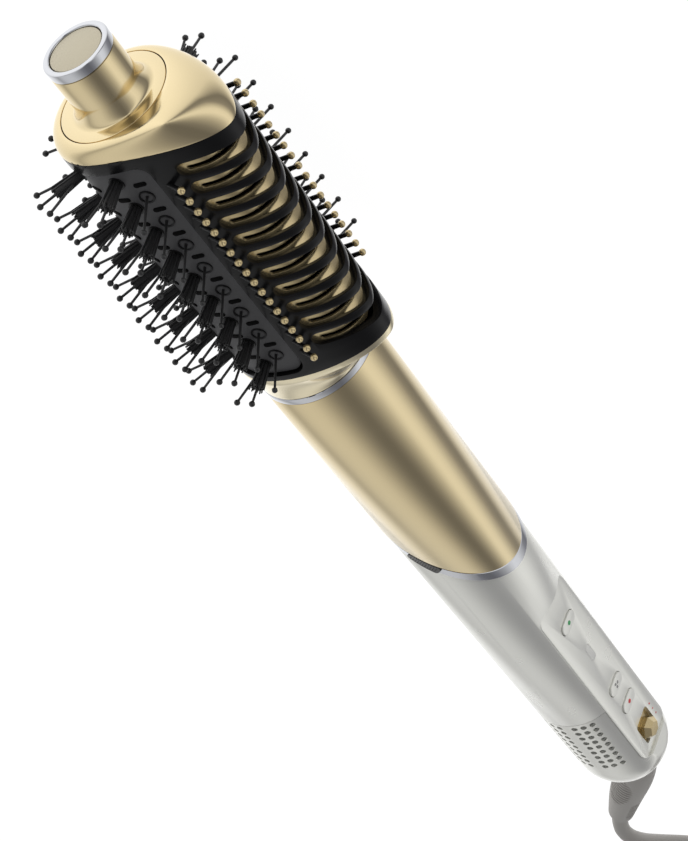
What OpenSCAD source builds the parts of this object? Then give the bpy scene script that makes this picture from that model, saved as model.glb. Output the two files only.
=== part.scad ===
// Hot air styler: a brush head that pulls off a twisting barrel, on a handle
// with a fan inside, a slotted intake sleeve and a mains lead.
// The X axis runs along the barrel towards the tip, and the origin is on it
// at the barrel's mouth. Vents and buttons face -Y, the bristles face +Y.

/* [Barrel] */
// Outside diameter of the barrel
barrel_d = 40; // [33:0.5:48]
// Barrel mouth to the point where the twist plane crosses the axis
barrel_l = 88.9; // [75:0.1:107]
// Angle between the barrel's axis and the twist plane's axis
joint_tilt = 47; // [44:0.5:49]
// Wall of the barrel
barrel_wall = 1.8; // [1.4:0.1:2.2]
// Width of the bright ring at the mouth
mouth_ring_w = 2.5; // [1.5:0.1:4]
// Width of the bright ring at the twist joint
joint_ring_w = 2.75; // [2:0.05:3.5]

/* [Brush head] */
// Collar from the mouth ring to the head's lower rim
collar_l = 11.8; // [9:0.1:15]
// Lower rim to the end cap's rim
head_l = 99; // [82:0.5:119]
// Axis to the vent side's outermost line
head_depth = 35.5; // [32:0.1:38]
// Axis to the rim on the bristle side
head_side = 21.5; // [20:0.1:24]
// How far the cap's rim dips on the vent side
rim_dip = 7.4; // [4:0.1:9]
// Number of vent slots
vent_count = 11; // [6:1:11]
// Width of a vent slot
vent_w = 4.5; // [3:0.1:5]
// Wall of the vent frame
frame_wall = 3; // [2.4:0.1:3.2]
// How far the bristle pad lies under the rims
pad_recess = 2.5; // [1.5:0.1:3]

/* [Bristles and pins] */
// Distance between like tufts along the head
tuft_pitch = 10.35; // [8:0.05:13]
// Axis to the ends of the long strands
strand_reach = 37.5; // [34:0.1:42]
// Axis to the ends of the short strands
tuft_reach = 29.9; // [27:0.1:33]
// Number of ball pins in each side row
side_pin_count = 18; // [8:1:18]
// Diameter of the side rows' balls
side_ball_d = 2.3; // [1.8:0.1:2.6]

/* [End cap and tip] */
// End cap's height above its rim on the bristle side
cap_h = 4.3; // [3:0.1:7]
// Diameter of the flat shoulder under the tip
shoulder_d = 34; // [32:0.5:36]
// Shoulder to the top of the tip
tip_h = 19.1; // [14:0.1:24]
// Diameter of the tip
tip_d = 20.8; // [17:0.1:24]

/* [Handle] */
// Handle's diameter just below the twist joint
handle_d = 38.7; // [32:0.1:46]
// Handle narrows by this much over 100 mm
handle_taper = 1.2; // [0:0.1:2]
// Wall of the handle
handle_wall = 1.4; // [1.1:0.1:1.6]
// Twist joint to the intake sleeve's front edge
body_l = 115.1; // [110:0.1:138]
// Intake sleeve's straight length
sleeve_l = 39; // [37:0.5:46]
// Length of the rounded end
dome_l = 16.5; // [14:0.5:18]
// Width of the control panel
panel_w = 21.6; // [20:0.1:23]
// Depth of the panel's flat under the round of the handle
panel_drop = 2.8; // [2:0.1:3.2]

/* [Controls] */
// Length of a button across the handle
button_l = 10; // [8:0.1:12]
// Width of a button
button_w = 5; // [4:0.1:5.6]
// Travel of a button
button_travel = 0.8; // [0.5:0.1:0.9]
// Travel of the slide switch
slide_travel = 4; // [3:0.1:4.5]
// Travel of the twist lock
lock_travel = 1.2; // [0.6:0.1:1.4]

/* [Intake] */
// Diameter of an intake hole
hole_d = 2.3; // [1.6:0.1:2.8]
// Distance between the rows of holes along the handle
hole_pitch = 3.63; // [3.2:0.01:4]
// Number of rows of holes
hole_rows = 9; // [4:1:9]

/* [Cord] */
// Diameter of the mains lead
cord_d = 6.6; // [5.6:0.1:7]
// Turns of cord in each of the coil's four layers
coil_turns = 2.5; // [1.5:1:2.5]
// Mean diameter of the coil
coil_d = 74; // [70:1:80]

/* [Hidden] */
$fn = 48;

// Clearances
slip = 0.05;      // between a pin and its bore
gap = 0.15;       // round a button or between fixed shells
free_gap = 0.3;   // between pieces that slide or turn past each other
big = 300;        // longer than anything it cuts

// Colours, as they show
gold = [0.80, 0.72, 0.52];
pale_gold = [0.86, 0.80, 0.66];
chrome = [0.80, 0.80, 0.83];
black = [0.13, 0.13, 0.14];
pad_grey = [0.29, 0.29, 0.30];
pearl = [0.80, 0.80, 0.78];
cord_grey = [0.58, 0.57, 0.55];
copper = [0.72, 0.45, 0.25];
steel = [0.62, 0.63, 0.65];
mica = [0.78, 0.72, 0.58];
board_green = [0.10, 0.35, 0.22];

// Barrel
barrel_r = barrel_d / 2;
barrel_in = barrel_r - barrel_wall;
ring_r = barrel_r + 0.1;
joint_x = -barrel_l;
adapter_l = 8;                  // head adapter's reach into the mouth
adapter_r = barrel_in - 0.3;
adapter_wall = 1.6;
grille_x = -adapter_l - 3;
grille_t = 2;

// Heater, from the barrel's mouth inwards
heater_x1 = grille_x - 2;
heater_l = 47;
heater_x0 = heater_x1 - heater_l;
shield_r = barrel_in - free_gap;
shield_t = 0.4;
heater_in = shield_r - shield_t;
plate_t = 0.8;
coil_wire_r = 0.5;
heater_coil_r = heater_in - 4;
heater_turns = 8;
plate_r = heater_coil_r - coil_wire_r - 0.2;

// Twist joint, measured along the plane's own axis
seam = 0.15;                    // barrel and handle each stand back this much
ring_n = joint_ring_w + seam;   // the ring's far face
spigot_wall = 1.6;
retainer_n = ring_n + 1.4;
retainer_t = 2.4;
lip_n = retainer_n + retainer_t + free_gap;
lip_t = 2.2;
flange_n = 0.6;
flange_t = 2.4;
lock_x = 3.45;                  // the lock's length across the ring
lock_y0 = -7.3;
lock_y1 = 4.7;
lock_stem = 2.5;

// Handle
handle_top_x = joint_x - 21.1;
handle_top_r = handle_d / 2;
function handle_r(x) = handle_top_r + handle_taper * (x - handle_top_x) / 200;
sleeve_x = joint_x - body_l;
dome_x = sleeve_x - sleeve_l;
handle_in = handle_r(sleeve_x) - handle_wall;
shell_x1 = joint_x + 1.5 * handle_top_r;
spigot_r = handle_in - 4.2;
lip_r = spigot_r + 1.4;

// Control panel: the flat, its back face and its outline
flat_y = -(handle_top_r - 0.25 - panel_drop);
panel_t = 2.7;
panel_back = flat_y + panel_t;
panel_half = panel_w / 2;
panel_top_x = sleeve_x + 62.5;
panel_end_x = dome_x;
panel_corner = 5;
edge_drop = 0.8;
power_x = sleeve_x + 45.1;
led_x = sleeve_x + 24.5;
fan_x = sleeve_x + 1.5;
heat_x = sleeve_x - 10.75;
slide_x = sleeve_x - 31;
slide_half_x = 3.75;
slide_half_z = 5;
button_rise = 0.6;
flange_rim = 0.7;
flange_h = 0.7;
knob_h = 2.6;
board_t = 1.6;
board_y = panel_back + 2.4;     // the board's face towards the buttons
board_x0 = slide_x - 5;
board_x1 = panel_top_x - 8.5;
board_half = 9;
flange_y = panel_back + 0.2;    // the buttons' flanges, just under the panel
switch_h = board_y - flange_y - flange_h - button_travel - 0.1;

// Fan unit, between the panel and the twist joint's lowest piece
retainer_low_x = joint_x - (retainer_n + retainer_t + sin(joint_tilt) * handle_in) / cos(joint_tilt);
motor_x0 = panel_top_x + 0.7;
motor_x1 = retainer_low_x - 0.8;
mount_t = 1.1;
motor_r = handle_in - mount_t - 0.1;
motor_wall = 1;
duct_r = motor_r - motor_wall;
can_r = 10.2;
can_wall = 0.8;
magnet_r = 4.9;
shaft_r = 1.2;
bearing_r = 3.4;
bearing_l = 2.2;
impeller_l = 6.4;
impeller_x0 = motor_x0 + 0.8;
can_x0 = impeller_x0 + impeller_l + 1;
can_x1 = motor_x1 - 0.6;
stator_x0 = can_x0 + bearing_l + 0.8;
stator_l = can_x1 - bearing_l - 0.8 - stator_x0;
blade_count = 9;
vane_count = 8;

// Rear frame, filter and intake sleeve
sleeve_in = handle_in - slip;
filter_t = 0.3;
filter_r = sleeve_in - 0.2;
cage_r = filter_r - filter_t - slip;
cage_wall = 1.4;
plate_x = dome_x - 3;           // front face of the rear frame's end plate
end_plate_t = 3;
sleeve_travel = 12;
boot_hole_r = 9.6;
boot_hole_y0 = -0.2;
boot_hole_y1 = 5.6;
dome_a = 20;                    // half axis of the rounded end along the handle
column_step = 11;               // degrees between the holes of a group
group_centres = [67, 108, 149];

// Head sections: the outline is a superellipse towards the vents and a circle towards the bristles
power_n = 1.7;
collar_x0 = mouth_ring_w + 0.2;
rim_x = mouth_ring_w + collar_l;
cap_x = rim_x + head_l;
shoulder_x = cap_x + cap_h;
window_y = -15;
window_x0 = rim_x + 2.1;
window_x1 = cap_x - 4.3;
window_corner = 4;
shell_t = 0.75;                 // slice of the pad that carries the strands
pad_t = 2;
core_t = 1.5;
head_duct_r = 14.5;
head_duct_wall = 1.2;
end_t = 2;
vent_pitch = 7.6;
vent_x = cap_x - 7.7;           // first slot's middle, before the dip
vent_y = -21.5;
louvre_w = 2;
shoulder_r = shoulder_d / 2;
tip_x = shoulder_x + tip_h;
tip_r = tip_d / 2;
tip_flare = 2.9;
tip_ring_h = 3.2;
base_t = 1.8;

// Side pins: where they stand and how they lean
pin_base = [-17.8, 17.5];
pin_dir = [-0.92, 0.39];
pin_len = 5.4;
pin_r = 0.8;
pin_seat = 1.2;
side_pin_pitch = 4.419;
side_pin_x = cap_x - 13.5;

// Strands: columns by their angle from the vent side, with the place of the first along the head
strand_r = 0.45;
short_r = 0.55;
spread = 1.25;                  // tuft's centre to its strands
long_lean = 9;
short_lean = 3;
tuft_columns = [[88, 10.3], [111, 15.5], [134, 10.3], [157, 15.5]];
pin_columns = [[66, 16.1]];
back_column = [180, 10.3];
strand_margin = 5;              // no tuft nearer than this to the lower rim

// The surface that the part lies on, under the bristles and the coil
floor_z = -37;

// Cord: the boot's middle line and half widths, then the lead's route to the coil
boot_path = [[-249, 0.2, 0], [-259.5, 0.3, 0], [-266, 2.2, 0], [-279, 9, 0], [-298, 20.5, 0],
    [-317.5, 31.5, 0]];
boot_r = [8, 8, 8, 7.5, 6.1, 4.2];
lead_points = [[-317.5, 31.5, 0], [-323.2, 34.7, 0], [-336.5, 39.6, -0.5], [-348.5, 41.8, -2.5],
    [-362, 42.5, -7], [-376, 41.5, -13.5], [-390, 39, -20.5], [-404, 35.6, -27], [-418, 32.4, -31.5],
    [-430, 30.4, -33.6]];
boot_end = (boot_path[5] - boot_path[4]) / norm(boot_path[5] - boot_path[4]);
cord_r = cord_d / 2;
tie_t = 0.5;
flat_cut = cord_d / 10;
coil_pitch = cord_d + 0.6;
layer_pitch = cord_d + 0.5;
coil_in_r = coil_d / 2 - coil_pitch * coil_turns / 2;
coil_out_r = coil_d / 2 + coil_pitch * coil_turns / 2;
coil_x = -440;
coil_y = 30 - coil_out_r;
coil_z = floor_z + tie_t + cord_r - flat_cut;
lead_path = concat(lead_points, [[coil_x, coil_y + coil_out_r, coil_z]]);
plug_h = 14;
plug_w = 26;
plug_l = 32;
plug_tail = 20;
plug_z = floor_z + plug_h / 2;
rings_a_turn = 24;
drop_r = coil_out_r + cord_d + 0.8;

// Shapes that several pieces use

module xcyl(x0, x1, r) translate([x0, 0, 0]) rotate([0, 90, 0]) cylinder(h = x1 - x0, r = r);

module xcone(x0, x1, r0, r1) translate([x0, 0, 0]) rotate([0, 90, 0])
    cylinder(h = x1 - x0, r1 = r0, r2 = r1);

module xtube(x0, x1, outer, inner) difference() {
    xcyl(x0, x1, outer);
    xcyl(x0 - 1, x1 + 1, inner);
}

// Extrudes an outline given as [Z, Y] points along X
module along_x(x0, x1) translate([x0, 0, 0]) rotate([0, 90, 0]) linear_extrude(x1 - x0) children();

// Extrudes an outline given as [X, Z] points along Y, from y0 up to y1
module along_y(y0, y1) translate([0, y1, 0]) rotate([90, 0, 0]) linear_extrude(y1 - y0) children();

// The half space on the tip's side of y
module above_y(y) translate([-big - 100, y, -big / 2]) cube([2 * big, big, big]);

// Turns to the twist joint's own axis, with its origin where that axis crosses the handle's
module at_joint() translate([joint_x, 0, 0]) rotate([0, 0, -joint_tilt]) children();

// A slab square to the joint's axis, between two distances from the twist plane
module joint_slab(n0, n1) at_joint() translate([n0, -big / 2, -big / 2]) cube([n1 - n0, big, big]);

// Corner points of a rectangle with round corners, each of m steps
function rounded(x0, y0, x1, y1, r, m = 6) = [
    for (c = [[x1 - r, y1 - r, 0], [x0 + r, y1 - r, 90], [x0 + r, y0 + r, 180], [x1 - r, y0 + r, 270]])
        for (i = [0:m]) [c.x + r * cos(c[2] + 90 * i / m), c.y + r * sin(c[2] + 90 * i / m)]];

// One point of the head's outline as [Z, Y], inset by d from the outermost one; a runs from the vent tip
function head_point(a, d) = let (w = head_side - d, h = head_depth - d)
    abs(a) <= 90
        ? [w * sign(a) * pow(abs(sin(a)), 2 / power_n), -h * pow(cos(a), 2 / power_n)]
        : [w * sin(a), -w * cos(a)];
head_angles = concat([for (a = [-85:10:-5]) a], [for (a = [5:10:85]) a], [for (a = [95:10:265]) a]);
function head_outline(d) = [for (a = head_angles) head_point(a, d)];

// Where the cap's rim lies along X for a given Y
function cap_rim(y) = cap_x - (y < 0 ? rim_dip * pow(y / head_depth, 2) : 0);
function dip(y) = rim_dip * pow(y / head_depth, 2);

// A circle's points as [Z, Y], each in the direction of the head outline's point
function round_point(a, r) = let (p = head_point(a, 0), l = norm(p)) [p.x * r / l, p.y * r / l];

// Joins rings of like points, each ring [X, Y, Z] in turn; the last ring joins the first one
module ring_shell(rings) {
    n = len(rings);
    m = len(rings[0]);
    polyhedron(
        points = [for (ring = rings) for (p = ring) p],
        faces = [for (i = [0:n - 1]) for (j = [0:m - 1])
            let (k = (j + 1) % m, a = i * m + j, b = i * m + k, up = (i + 1) % n * m, c = up + j, d = up + k)
            each [[a, c, b], [b, c, d]]]);
}

// Sweeps a regular section along a path, upright, and keeps it above a floor
function unit(v) = v / norm(v);
function path_dir(path, i) = unit(path[min(i + 1, len(path) - 1)] - path[max(i - 1, 0)]);
function section_ring(c, t, r, sides, low) =
    let (side = unit(cross([0, 0, 1], t)), up = cross(t, side))
    [for (k = [0:sides - 1])
        let (a = 360 * (k + 0.5) / sides - 90, p = c + r * (cos(a) * side + sin(a) * up))
        [p.x, p.y, max(p.z, low)]];
module sweep(path, radii, sides, start = undef, end = undef, low = -big) {
    n = len(path);
    rings = [for (i = [0:n - 1]) section_ring(path[i],
        i == 0 && start != undef ? start : i == n - 1 && end != undef ? end : path_dir(path, i),
        radii[i], sides, low)];
    polyhedron(
        points = [for (ring = rings) for (p = ring) p],
        faces = concat(
            [for (k = [1:sides - 2]) [0, k, k + 1]],
            [for (k = [1:sides - 2]) [(n - 1) * sides, (n - 1) * sides + k + 1, (n - 1) * sides + k]],
            [for (i = [0:n - 2]) for (k = [0:sides - 1])
                let (a = i * sides + k, b = i * sides + (k + 1) % sides)
                each [[a, a + sides, b], [b, a + sides, b + sides]]]));
}

// Barrel

module barrel_tube() color(gold) intersection() {
    xtube(joint_x - 1.2 * barrel_r, 0, barrel_r, barrel_in);
    joint_slab(seam, big);
}

module barrel_ring() color(chrome) xtube(0, mouth_ring_w, ring_r, adapter_r + free_gap / 2);

module outlet_grille() color(black) difference() {
    step = barrel_in / 4;
    xcyl(grille_x, grille_x + grille_t, barrel_in - slip);
    xcyl(grille_x - 1, grille_x + grille_t + 1, 1.6);
    for (k = [1:3]) for (a = [0:60 / k:359]) rotate([a, 0, 0]) translate([0, k * step, 0])
        xcyl(grille_x - 1, grille_x + grille_t + 1, 1.6);
}

module heater_frame() color(mica) {
    for (a = [0, 90]) rotate([a, 0, 0])
        translate([heater_x0, -plate_r, -plate_t / 2]) cube([heater_l, 2 * plate_r, plate_t]);
    for (x = [heater_x0, heater_x1 - 2]) {
        xtube(x, x + 2, heater_in - slip, heater_in - 2.2);
        for (a = [0, 90]) rotate([a, 0, 0])
            translate([x, -heater_in + 1, -plate_t / 2]) cube([2, 2 * heater_in - 2, plate_t]);
    }
}

heater_pitch = (heater_l - 10) / heater_turns;
module heater_coil() color(steel) {
    steps = 16;
    path = [for (i = [0:heater_turns * steps]) let (a = 360 * i / steps)
        [heater_x0 + 5 + heater_pitch * i / steps, heater_coil_r * cos(a), heater_coil_r * sin(a)]];
    sweep(path, [for (p = path) coil_wire_r], 6);
}

module heater_shield() color(mica) xtube(heater_x0 - 2, heater_x1 + 1, shield_r, heater_in);

module heater_leads() color(copper) for (z = [-8, 8])
    translate([0, -plate_t / 2 - 0.82, z]) xcyl(heater_x0 - 14, heater_x0 + 1.4, 0.8);

module thermal_fuse() color(steel) translate([0, plate_t / 2 + 1.6, plate_t / 2 + 1.6])
    xcyl(heater_x0 + 8, heater_x0 + 18, 1.5);

module thermostat() color(black) translate([heater_x0 + 22, -plate_t / 2 - 6.1, plate_t / 2 + 0.1])
    cube([12, 6, 4]);

module joint_spigot() color(black) difference() {
    union() {
        intersection() {
            xcyl(joint_x - 1.2 * barrel_r, joint_x + 1.5 * barrel_r, barrel_in - slip);
            joint_slab(flange_n, flange_n + flange_t);
        }
        at_joint() xcyl(-lip_n - lip_t, flange_n + flange_t + 2, spigot_r);
        at_joint() xcyl(-lip_n - lip_t, -lip_n, lip_r);
    }
    at_joint() xcyl(-big / 2, big / 2, spigot_r - spigot_wall);
}

// Brush head

module head_adapter() color(black) {
    xtube(-adapter_l, collar_x0 + 2, adapter_r, adapter_r - adapter_wall);
    xtube(collar_x0 + 2, rim_x, adapter_r - 0.5, adapter_r - adapter_wall);
    xtube(rim_x - 2, rim_x, adapter_r - adapter_wall + 0.5, head_duct_r + slip);
}

// A ring between a circle of radius r and the head's outline inset by d, t of the way out
function wide(x, r, d, t) = [for (a = head_angles) let (p = round_point(a, r), q = head_point(a, d))
    [x, p.y + t * (q.y - p.y), p.x + t * (q.x - p.x)]];

module head_collar() color(pale_gold) {
    wall = 1.6;
    steps = 6;
    lift = rim_x - 2 - collar_x0;
    outer = [for (i = [0:steps]) let (u = i / steps)
        wide(collar_x0 + lift * u, barrel_r, 0, pow(u, 1.6))];
    inner = [for (i = [steps:-1:0]) let (u = i / steps)
        wide(collar_x0 + lift * u, barrel_r - wall, wall, pow(u, 1.6))];
    ring_shell(concat(outer, [wide(rim_x, barrel_r, 0, 1)], [wide(rim_x, barrel_r - wall, wall, 1)], inner));
}

// The side view below the cap's rim, lowered by d and inset from the tip
module under_cap(d = 0) translate([0, 0, -big / 2]) linear_extrude(big) polygon(concat(
    [[rim_x - 1, -head_depth - 2]],
    [for (y = [-head_depth - 2:2:-0.1]) [cap_rim(y) - d, y]],
    [[cap_x - d, 0], [cap_x - d, head_side + 2], [rim_x - 1, head_side + 2]]));

// The window that the bristle pad fills, seen from the side and grown by d
module pad_window(d = 0) translate([0, 0, -big / 2]) linear_extrude(big)
    polygon(rounded(window_x0 - d, window_y - d, window_x1 + d, head_side + 20, window_corner));

// A curved slot of width w along the vent side, with a round end
module slot_cutter(i, w) translate([0, 0, -big / 2]) linear_extrude(big) {
    ys = [for (y = [vent_y - 1:-1.5:-head_depth - 2]) y];
    mid = vent_x - vent_pitch * i;
    end = [for (a = [0:30:180]) [mid - dip(vent_y) + w / 2 * cos(a), vent_y - 1 + w / 3 * sin(a)]];
    polygon(concat(end,
        [for (y = ys) [mid - dip(y) - w / 2, y]],
        [for (k = [len(ys) - 1:-1:0]) [mid - dip(ys[k]) + w / 2, ys[k]]]));
}

module vent_frame() color(black) difference() {
    intersection() {
        union() {
            along_x(rim_x, cap_x) difference() {
                polygon(head_outline(0));
                polygon(head_outline(frame_wall));
            }
            along_x(rim_x, rim_x + end_t) difference() {
                polygon(head_outline(frame_wall / 2));
                circle(head_duct_r + slip);
            }
            along_x(window_x1 + 0.1, window_x1 + end_t) difference() {
                polygon(head_outline(frame_wall / 2));
                circle(head_duct_r + slip);
            }
        }
        under_cap();
    }
    pad_window();
    for (i = [0:vent_count - 1]) slot_cutter(i, vent_w);
    // The arched ribs lie a little under the rims
    intersection() {
        along_x(vent_x - vent_pitch * vent_count - 2, vent_x - 1) difference() {
            polygon(head_outline(-2));
            polygon(head_outline(1));
        }
        translate([0, -big + vent_y - 2, -big / 2]) cube([big, big, big]);
    }
    for (s = [-1, 1]) for (i = [0:side_pin_count - 1]) side_pin_place(i, s)
        cylinder(h = pin_len, r = pin_r + slip);
}

module vent_core() color(gold) difference() {
    intersection() {
        along_x(window_x0 + 0.2, window_x1 - 4) difference() {
            polygon(head_outline(frame_wall + 0.1));
            polygon(head_outline(frame_wall + 0.1 + core_t));
        }
        translate([0, -big + window_y - 1, -big / 2]) cube([big, big, big]);
        under_cap(4.5);
    }
    for (i = [0:vent_count - 1]) slot_cutter(i, louvre_w);
}

module head_duct() color(black) difference() {
    union() {
        xcyl(rim_x - 2, window_x1 + 3.6, head_duct_r);
        for (x = [window_x0 + 1.6, (window_x0 + window_x1) / 2, window_x1 - 3.1])
            along_x(x, x + 1.5) intersection() {
                polygon(head_outline(pad_recess + pad_t + slip));
                translate([-big / 2, -10]) square([big, big]);
            }
    }
    difference() {
        xcyl(rim_x - 3, window_x1 + 5, head_duct_r - head_duct_wall);
        xcyl(window_x1 - 1, window_x1 + 1, head_duct_r);
        xcyl(window_x1 - 6, window_x1, 3.5);
    }
    translate([window_x0 + 4, -big - 8, -big / 2]) cube([window_x1 - window_x0 - 10, big, big]);
    xcyl(window_x1 - 6.5, window_x1 + 2, screw_r + slip);
}

// The pad's wall between two insets, inside its window
module pad_layer(outer, inner) intersection() {
    along_x(window_x0 - 1, window_x1 + 1) difference() {
        polygon(head_outline(outer));
        polygon(head_outline(inner));
    }
    pad_window(-0.1);
}

module bristle_pad() color(pad_grey) pad_layer(pad_recess + shell_t, pad_recess + pad_t);

// Distance from the axis to the pad's face in the direction a from the vent side
function pad_face(a) = let (w = head_side - pad_recess, h = head_depth - pad_recess)
    abs(a) >= 90 ? w : pow(pow(abs(cos(a)) / h, power_n) + pow(abs(sin(a)) / w, power_n), -1 / power_n);

// A strand from the pad outwards, leaning by tilt towards turn
module strand(x, a, reach, r, at, turn, lean) {
    base = pad_face(a) - 0.5;
    translate([x, 0, 0]) rotate([-a, 0, 0]) rotate([90, 0, 0]) translate([0, 0, base])
        rotate([0, 0, turn]) translate([at, 0, 0]) rotate([0, lean, 0])
            cylinder(h = (reach - base) / cos(lean), r = r, $fn = 3);
}

module tuft(x, a) for (k = [0:2]) {
    strand(x, a, strand_reach, strand_r, spread, 120 * k, long_lean);
    strand(x, a, tuft_reach, short_r, spread, 120 * k + 60, short_lean);
}

module slim_pin(x, a) strand(x, a, strand_reach - 2, strand_r, 0, 0, 0);

// Places along the head for a column whose first tuft lies d under the cap's rim
function column_places(d) = [for (x = [cap_x - d:-tuft_pitch:window_x0 + strand_margin - 1.5]) x];

module bristles() color(black) difference() {
    union() {
        pad_layer(pad_recess, pad_recess + shell_t);
        for (s = [-1, 1]) {
            for (c = tuft_columns) for (x = column_places(c[1])) tuft(x, s * c[0]);
            for (c = pin_columns) for (x = column_places(c[1])) slim_pin(x, s * c[0]);
        }
        for (x = column_places(back_column[1])) slim_pin(x, back_column[0]);
    }
    translate([-big / 2, -big / 2, floor_z - big]) cube([2 * big, big, big]);
}

module side_pin_place(i, s) {
    turn = atan2(s * pin_dir.y, -pin_dir.x);
    translate([side_pin_x - side_pin_pitch * i, pin_base.x, s * pin_base.y])
        rotate([-turn, 0, 0]) rotate([90, 0, 0]) translate([0, 0, -pin_seat]) children();
}

module side_pins() color(black) for (s = [-1, 1]) for (i = [0:side_pin_count - 1]) side_pin_place(i, s)
    cylinder(h = pin_seat + pin_len - 0.5, r = pin_r);

module pin_tips() color(gold) for (s = [-1, 1]) for (i = [0:side_pin_count - 1]) side_pin_place(i, s)
    difference() {
        translate([0, 0, pin_seat + pin_len]) sphere(side_ball_d / 2);
        cylinder(h = pin_seat + pin_len - 0.5, r = pin_r);
    }

// A ring of the cap, u of the way from its rim up to the circle of radius r
function bulge(u, r, d, drop) = [for (a = head_angles)
    let (p = round_point(a, r), q = head_point(a, d), x0 = cap_rim(q.y) + slip, x1 = shoulder_x - drop)
    [x0 + (x1 - x0) * sin(90 * u), p.y + (q.y - p.y) * cos(90 * u), p.x + (q.x - p.x) * cos(90 * u)]];
function hoop(x, r) = [for (a = head_angles) let (p = round_point(a, r)) [x, p.y, p.x]];

module end_cap() color(gold) {
    ledge = shoulder_x - base_t - 0.05;
    steps = 7;
    hole = shoulder_r + 0.1;
    ring_shell(concat(
        [for (i = [0:steps]) bulge(i / steps, hole, 0, 0)],
        [hoop(ledge, hole), hoop(ledge, hole - 2), hoop(ledge - 1.4, hole - 2)],
        [for (i = [steps - 1:-1:0]) bulge(i / steps, hole - 1, 1.8, base_t + 1.4)]));
}

screw_r = 1.45;
module tip_post() color(gold) translate([shoulder_x, 0, 0]) rotate([0, 90, 0]) difference() {
    floor_h = 1;
    rotate_extrude() polygon(concat(
        [[0, -base_t], [shoulder_r - 0.1, -base_t], [shoulder_r - 0.1, 0], [tip_r + tip_flare, 0]],
        [for (a = [10:10:90]) [tip_r + tip_flare * (1 - sin(a)), 5 * (1 - cos(a))]],
        [[tip_r, tip_h - tip_ring_h], [tip_r - 1.6, tip_h - tip_ring_h]],
        [[tip_r - 1.6, floor_h + 1], [0, floor_h + 1]]));
    translate([0, 0, -base_t - 1]) cylinder(h = 10, r = screw_r + 0.1);
}

module tip_ring() color(chrome) xtube(tip_x - tip_ring_h, tip_x, tip_r, tip_r - 2);

module tip_disc() color(pale_gold) {
    xcyl(tip_x - 1.8, tip_x, tip_r - 2.25);
    xtube(tip_x - tip_ring_h - 1, tip_x - 1.8, tip_r - 2.25, tip_r - 3.4);
}

module tip_screw() color(steel) {
    xcyl(shoulder_x + 2, shoulder_x + 4, 2.8);
    xcyl(window_x1 - 5, shoulder_x + 2, screw_r);
}

// Handle

module handle_shell() color(pearl) difference() {
    intersection() {
        xcone(sleeve_x, shell_x1, handle_r(sleeve_x), handle_r(shell_x1));
        joint_slab(-big, -ring_n);
    }
    xcyl(sleeve_x - 1, joint_x + 2 * handle_top_r, handle_in);
    panel_cut(gap / 2);
    lock_notch();
}

module joint_ring() color(chrome) difference() {
    ring_out = (barrel_r + handle_top_r + 0.5) / 2;
    intersection() {
        xtube(joint_x - 1.5 * barrel_r, joint_x + 1.5 * barrel_r, ring_out, handle_in);
        joint_slab(-ring_n, -seam);
    }
    lock_notch();
}

module lock_notch() at_joint()
    translate([-lock_x - 0.45 - gap, lock_y0 - gap, handle_in - 3])
        cube([lock_x + 2, lock_y1 - lock_y0 + 2 * gap, 10]);

module joint_retainer() color(black) difference() {
    intersection() {
        xcyl(joint_x - 2 * handle_in, joint_x + 2 * handle_in, handle_in - slip);
        joint_slab(-retainer_n - retainer_t, -retainer_n);
    }
    at_joint() xcyl(-big / 2, big / 2, spigot_r + slip);
}

module lock_button() color(black) intersection() {
    at_joint() {
        translate([-lock_x - 0.45, lock_y0, handle_in + 0.4]) cube([lock_x, lock_y1 - lock_y0, 10]);
        translate([-lock_stem - 0.6, lock_y0 + 2, handle_in - 1.6])
            cube([lock_stem, lock_y1 - lock_y0 - 4, 3]);
    }
    xcyl(joint_x - 2 * barrel_r, joint_x + 2 * barrel_r, barrel_r + 0.1);
}

// The control panel's outline, seen from the buttons' side and grown by d
module panel_cut(d) along_y(-big / 2, panel_back + 1)
    polygon(rounded(panel_end_x - d, -panel_half - d, panel_top_x + d, panel_half + d, panel_corner));

module button_hole(x, d) along_y(-big / 2, panel_back + 1)
    polygon(rounded(x - button_w / 2 - d, -button_l / 2 - d, x + button_w / 2 + d, button_l / 2 + d,
        button_w / 2 + d - 0.01));

module control_panel() color(pearl) {
    difference() {
        intersection() {
            along_x(panel_end_x, panel_top_x) polygon([
                [-panel_half, flat_y + edge_drop], [-panel_half + 2.3, flat_y], [panel_half - 2.3, flat_y],
                [panel_half, flat_y + edge_drop], [panel_half, panel_back], [-panel_half, panel_back]]);
            panel_cut(0);
        }
        for (x = [power_x, fan_x, heat_x]) button_hole(x, gap);
        button_shape(led_x, 6, 3, flat_y - 1, panel_back + 1, gap / 2);
        along_y(-big / 2, panel_back + 1) polygon(rounded(slide_x - slide_half_x - gap, -slide_half_z - gap,
            slide_x + slide_half_x + slide_travel + gap, slide_half_z + gap, 1.5));
    }
    for (x = [board_x1 - 3, power_x - 8, fan_x + 9]) for (z = [-7, 7])
        translate([x, board_y, z]) rotate([90, 0, 0]) cylinder(h = board_y - panel_back, r = 1.5);
}

// A pill that lies across the handle between two heights
module button_shape(x, l, w, y0, y1, d = 0) along_y(y0, y1)
    polygon(rounded(x - w / 2 - d, -l / 2 - d, x + w / 2 + d, l / 2 + d, w / 2 + d - 0.01));

module push_button(x) {
    button_shape(x, button_l, button_w, flat_y - button_rise, flange_y + 0.1);
    button_shape(x, button_l + 2 * flange_rim, button_w + 2 * flange_rim, flange_y, flange_y + flange_h);
}

module power_button() color(pearl) push_button(power_x);
module fan_button() color(pearl) push_button(fan_x);
module heat_button() color(pearl) push_button(heat_x);

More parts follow.
